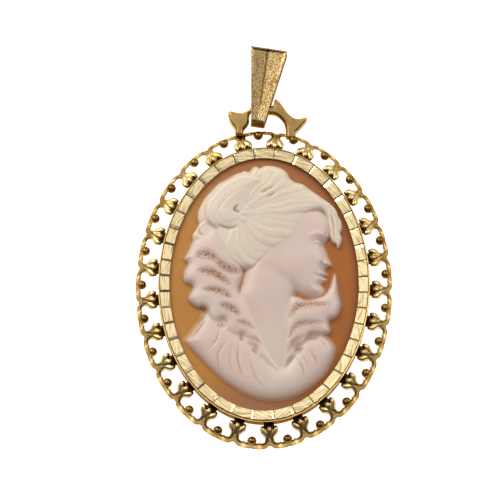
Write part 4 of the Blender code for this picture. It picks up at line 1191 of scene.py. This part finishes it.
def bead_unit():
    """One round bead, standing inside the middle of an arch."""
    tilts = np.repeat(np.arange(1, BEAD_RINGS) / BEAD_RINGS * math.pi, BEAD_SIDES)
    turns = np.tile(np.arange(BEAD_SIDES) / BEAD_SIDES * math.tau, BEAD_RINGS - 1)
    ball = np.column_stack([np.sin(tilts) * np.cos(turns), np.sin(tilts) * np.sin(turns), np.cos(tilts)])
    ball = BEAD_RADIUS * np.vstack([ball, (0.0, 0.0, 1.0), (0.0, 0.0, -1.0)])
    top, foot = len(ball) - 2, len(ball) - 1
    lowest = (BEAD_RINGS - 2) * BEAD_SIDES
    faces = []
    for side in range(BEAD_SIDES):
        after = (side + 1) % BEAD_SIDES
        faces.append((top, side, after))
        for ring in range(0, lowest, BEAD_SIDES):
            below = ring + BEAD_SIDES
            faces.append((ring + side, below + side, below + after, ring + after))
        faces.append((lowest + side, foot, lowest + after))
    height = gallery_top(BEAD_OUT) - GALLERY_THICKNESS / 3
    ball += (0.0, BEAD_OUT - GALLERY_WIDTH / 2, height)
    mesh = bpy.data.meshes.new("bead_unit")
    mesh.from_pydata([tuple(corner) for corner in ball * (1 / PITCH, MM, MM)], [], faces)
    return shown("bead_unit", mesh)


def border():
    """The gallery's 25 legs with their arches, and its 25 beads."""
    tree = row_tree()
    guide = guide_line("length_guide", even_angles(), GALLERY_WIDTH / 2)
    made = []
    # Cast legs: pale and worn bright on the lobes, with tarnish and painted shade in the joints between them
    legs_finish = gold("cast_gold", 0.3, 0.45, 0.014, 0.2, ("#E2C07A", "#F7DEA4"))
    # Beads shut in by their arches, where no cloth reaches: browned all over by tarnish and painted shade,
    # with one small light each
    beads_finish = gold("tarnished_and_shaded_bead_gold", 0.28, 0.5, 0.008, 0.3, ("#7A5E30", "#9C7C46"))
    rows = [
        ("gallery", gallery_unit(), UNIT_TURN, legs_finish),
        ("beads", bead_unit(), UNIT_TURN + 0.5, beads_finish),
    ]
    for name, unit, turn, finish in rows:
        made.append(made_by(tree, name, guide, {
            "Unit": unit, "Copies": UNIT_COUNT, "Turn": turn, "Finish": finish,
        }))
        bpy.data.objects.remove(unit)
    bpy.data.objects.remove(guide)
    return made


def wishbone():
    """Rounded casting with a slim bar, two sloping arms and crescent feet, soldered to the rim."""
    size = np.array([FOOT_REACH, FOOT_DROP])
    outlines = []
    for start, end, top, ends, under in (
        (BAR_RIGHT, BAR_RIGHT, RIGHT_ARM_TOP + RIGHT_FOOT, RIGHT_STEM, RIGHT_ARM_UNDER),
        (BAR_LEFT - BAR_TOP_SHORTER, BAR_LEFT, LEFT_ARM_TOP + LEFT_FOOT, LEFT_STEM, LEFT_ARM_UNDER),
    ):
        stem = [(share * FOOT_REACH, -FOOT_DROP - STEM_LENGTH) for share in ends]
        before = [tuple(np.array(spot) * size) for spot in top]
        after = [tuple(np.array(spot) * size) for spot in under]
        outlines.append([
            (start, BAR_CENTRE + BAR_HALF_HEIGHT), *before, *stem, *after, (end, BAR_CENTRE - BAR_HALF_HEIGHT)
        ])
    right, left = outlines
    outline = eased(right + [(-across, up) for across, up in left[::-1]], 0.12, 4)
    form = bmesh.new()
    half = WISHBONE_THICKNESS / 2
    plate = form.faces.new([form.verts.new((across, up, -half)) for across, up in outline])
    lifted = bmesh.ops.extrude_face_region(form, geom=[plate], use_keep_orig=True)["geom"]
    for part in lifted:
        if isinstance(part, bmesh.types.BMVert):
            part.co.z = half
    bmesh.ops.triangulate(form, faces=form.faces[:])
    mesh = cast(form, "wishbone", WISHBONE_VOXEL, 4)
    corners = np.array([corner.co for corner in mesh.vertices])
    edge, _ = to_line(corners[:, :2], np.vstack([outline, outline[:1]]))
    worn = WISHBONE_BEVEL * (1 - np.clip(edge / WISHBONE_BEVEL, 0, 1)) ** 2
    corners[:, 2] = np.clip(corners[:, 2], worn - half, half - worn)
    mesh.vertices.foreach_set("co", corners.ravel())
    place = Matrix.Translation((
        WISHBONE_X, CENTRE_Y + WALL_Y + GALLERY_WIDTH + WISHBONE_RISE, BAIL_DEPTH / 2
    )) @ Matrix.Rotation(math.radians(WISHBONE_TURN), 4, "Z")
    mesh.transform(Matrix.Scale(MM, 4) @ place)
    mesh.shade_smooth()
    # Rubbed smooth by the swinging loop: soft broad highlights on a deeper yellow
    return shown("wishbone", mesh, gold("cast_wishbone_gold", 0.27, 0.6, 0.008, 0.15, ("#B8965E", "#C6A66C")))


def bail_width(along, low):
    """Width of the bail's strip at a place along it."""
    share = (along - low) / BAIL_LENGTH
    return BAIL_BOTTOM_WIDTH + (BAIL_TOP_WIDTH - BAIL_BOTTOM_WIDTH) * share


def bail_sinking(across, along, width, low, high):
    """How far below the border the front lies: a sunk panel, a crease down it and bark-like tooling."""
    edge = min(width / 2 - abs(across), high - BAIL_TOP_CORNER * 0.3 - along, along - low - BAIL_CORNER * 0.4)
    share = min(max((edge - BORDER_WIDTH) / 0.08, 0.0), 1.0)
    slope = max(1.0 - abs(across + CREASE_ASIDE) / (width / 2 - BORDER_WIDTH), 0.0)
    fold = CREASE_DEPTH * (0.45 + 0.55 * width / BAIL_TOP_WIDTH) * slope
    ended = min(max((along - low - 1.6) / 1.2, 0.0), 1.0)
    crease = 0.03 * ended * math.exp(-(((across + CREASE_ASIDE) / 0.09) ** 2))
    grain = noise.noise(Vector((across / 0.14, along / 0.34, 0.0)))
    fine = noise.noise(Vector((across / 0.07, along / 0.13, 5.0)))
    bark = BARK_DEPTH * (0.5 + 0.6 * grain + 0.4 * fine)
    return share * (PANEL_DEPTH + fold + crease + max(bark, 0.0))


def bail_tarnish_and_shade(across, along, depth, low):
    """How dark the bail is: painted shade in its crease and at its foot, some tarnish on its panel, more
    shade left of the crease.
    """
    # Painted shade along the crease, fading out near the foot
    middle = across + CREASE_ASIDE * (along - low) / BAIL_LENGTH
    ended = min(max((along - low - 1.2) / 1.6, 0.0), 1.0)
    panel = min(max((bail_width(along, low) / 2 - abs(across) - BORDER_WIDTH) / 0.1, 0.0), 1.0)
    # A little tarnish on the sunk panel, and painted shade on its half left of the crease
    dull = 0.12 + 0.16 * (across < -CREASE_ASIDE)
    # Painted shade on the loop's underside at its foot
    foot = 0.8 * (along < low + 0.5) * (depth < BAIL_DEPTH / 2 - 0.3)
    return max(ended * math.exp(-((middle / 0.17) ** 2)), dull * panel, foot)


def bail():
    """The folded loop: a bordered, bark-textured front with a crease, and a plain back."""
    low, high = -BAIL_BELOW_BAR, BAIL_LENGTH - BAIL_BELOW_BAR
    half = BAIL_DEPTH / 2
    columns = FRONT_COLUMNS

    def loop(inset, bottom, top):
        """Closed line of (along, depth) round the loop, with many points on its front."""
        line = []
        for along, depth, radius, first in (
            (high - inset, half - inset, top, 0.0), (low + inset, half - inset, bottom, 90.0),
            (low + inset, inset - half, bottom, 180.0), (high - inset, inset - half, top, 270.0),
        ):
            centre = np.array([
                along - math.copysign(radius, along - (low + high) / 2), depth - math.copysign(radius, depth)
            ])
            for step in range(CORNER_STEPS + 1):
                angle = math.radians(first + step * 90.0 / CORNER_STEPS)
                line.append(centre + radius * np.array([math.cos(angle), math.sin(angle)]))
            if first == 0.0:
                end = np.array([low + inset + bottom, half - inset])
                for step in range(1, FRONT_STEPS):
                    line.append(line[CORNER_STEPS] + (end - line[CORNER_STEPS]) * step / FRONT_STEPS)
        return np.array(line)

    outer, inner = loop(0.0, BAIL_CORNER, BAIL_TOP_CORNER), loop(BAIL_WALL, 0.1, 0.1)
    corners = []
    for line, facing in ((outer, 1), (inner, 0)):
        for along, depth in line:
            width = bail_width(along, low)
            for column in range(columns):
                across = (column / (columns - 1) - 0.5) * width
                height = depth
                if facing and depth > half - 1e-6:
                    height -= bail_sinking(across, along, width, low, high)
                corners.append((across, along, height))
    stations = len(outer)
    start = stations * columns
    faces = []
    for station in range(stations):
        after = (station + 1) % stations
        for column in range(columns - 1):
            here, there = station * columns + column, after * columns + column
            faces.append((here, here + 1, there + 1, there))
            faces.append((start + here, start + there, start + there + 1, start + here + 1))
        for column in (0, columns - 1):
            here, there = station * columns + column, after * columns + column
            faces.append((here, there, start + there, start + here))
    mesh = mesh_of("bail_loop", corners, faces)
    tarnish_and_shade = [bail_tarnish_and_shade(across, along, depth, low) for across, along, depth in corners]
    measured(mesh, "tarnish_and_shade", tarnish_and_shade)
    outward(mesh)
    mesh.transform(Matrix.Translation(SWING * MM) @ Matrix.Rotation(math.radians(BAIL_LEAN), 4, "Z"))
    mesh.shade_smooth()
    mesh.set_sharp_from_angle(angle=math.radians(50))
    # Front tooled like bark: a coarse glitter with dark pits between
    made = shown("bail_loop", mesh, gold("bark_gold", 0.36, 0.18, 0.06, 0.95, ("#C8AC7A", "#D0B88A")))
    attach(made, "bail")
    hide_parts("bail")
    return made


def floor():
    """Pale sheet that the pendant lies on, lit a little from below as on a light table."""
    made, tree, shader = new_material("pale_paper")
    shader.inputs["Base Color"].default_value = linear("#F4F3F1")
    shader.inputs["Roughness"].default_value = 0.8
    shader.inputs["Emission Color"].default_value = linear("#FFFFFF")
    shader.inputs["Emission Strength"].default_value = 0.95
    sides = ((-1, -1), (1, -1), (1, 1), (-1, 1))
    corners = [(across * FLOOR_HALF, up * FLOOR_HALF, 0) for across, up in sides]
    mesh = mesh_of("floor", corners, [(0, 1, 2, 3)])
    sheet = shown("floor", mesh, made)
    return sheet


def light(name, place, size, power, colour):
    """Soft square lamp that faces the pendant."""
    lamp = bpy.data.lights.new(name, "AREA")
    lamp.size = size
    lamp.energy = power
    lamp.color = linear(colour)[:3]
    made = bpy.data.objects.new(name, lamp)
    bpy.context.scene.collection.objects.link(made)
    made.location = place
    made.rotation_euler = Vector(place).to_track_quat("Z", "Y").to_euler()
    return made


def studio():
    """Soft studio: a broad lamp on the left, a weaker one on the right, a pale ceiling, a dark room below."""
    world = bpy.data.worlds.new("studio")
    world.use_nodes = True
    tree = world.node_tree
    around = add(tree, "ShaderNodeTexCoord").outputs["Generated"]
    _, toward, upward = add(tree, "ShaderNodeSeparateXYZ", {0: around}).outputs
    lighter = add(tree, "ShaderNodeMath", {0: toward, 1: 0.5, 2: upward}, operation="MULTIPLY_ADD")
    share = add(tree, "ShaderNodeMapRange", {"Value": lighter, "From Min": 0.25, "From Max": 1.12}, **SMOOTH)
    room = add(tree, "ShaderNodeMix", {0: share, 6: linear("#3A3026"), 7: linear("#E2DED6")}, **COLOUR)
    seen_straight = add(tree, "ShaderNodeLightPath").outputs["Is Camera Ray"]
    seen = add(tree, "ShaderNodeMix", {0: seen_straight, 6: room, 7: linear("#FFFFFF")}, **COLOUR)
    add(tree, tree.nodes["Background"], {"Color": seen})
    bpy.context.scene.world = world
    light("key", (-0.34, 0.32, 0.4), 0.42, 2.0, "#FFF8EE")
    light("fill", (0.36, 0.16, 0.36), 0.25, 0.6, "#FAFAFF")
    bpy.context.scene.view_settings.view_transform = "Standard"


def camera():
    """Camera at the photograph's angle, framed on the pendant."""
    lens = bpy.data.cameras.new("camera")
    lens.lens = CAMERA_LENS
    lens.sensor_width = SENSOR_WIDTH
    lens.clip_start = 0.01
    tilt = math.radians(CAMERA_ELEVATION)
    away = VIEW_WIDTH * CAMERA_LENS / SENSOR_WIDTH
    made = bpy.data.objects.new("camera", lens)
    bpy.context.scene.collection.objects.link(made)
    made.location = (CAMERA_TARGET + away * Vector((0.0, -math.cos(tilt), math.sin(tilt)))) * MM
    made.rotation_euler = (math.pi / 2 - tilt, 0.0, 0.0)
    bpy.context.scene.camera = made


camera()
studio()
floor()
cameo()
for piece in (bezel_wall(), blocks(), *border(), wishbone()):
    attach(piece, "pendant")
    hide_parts("setting")
bail()
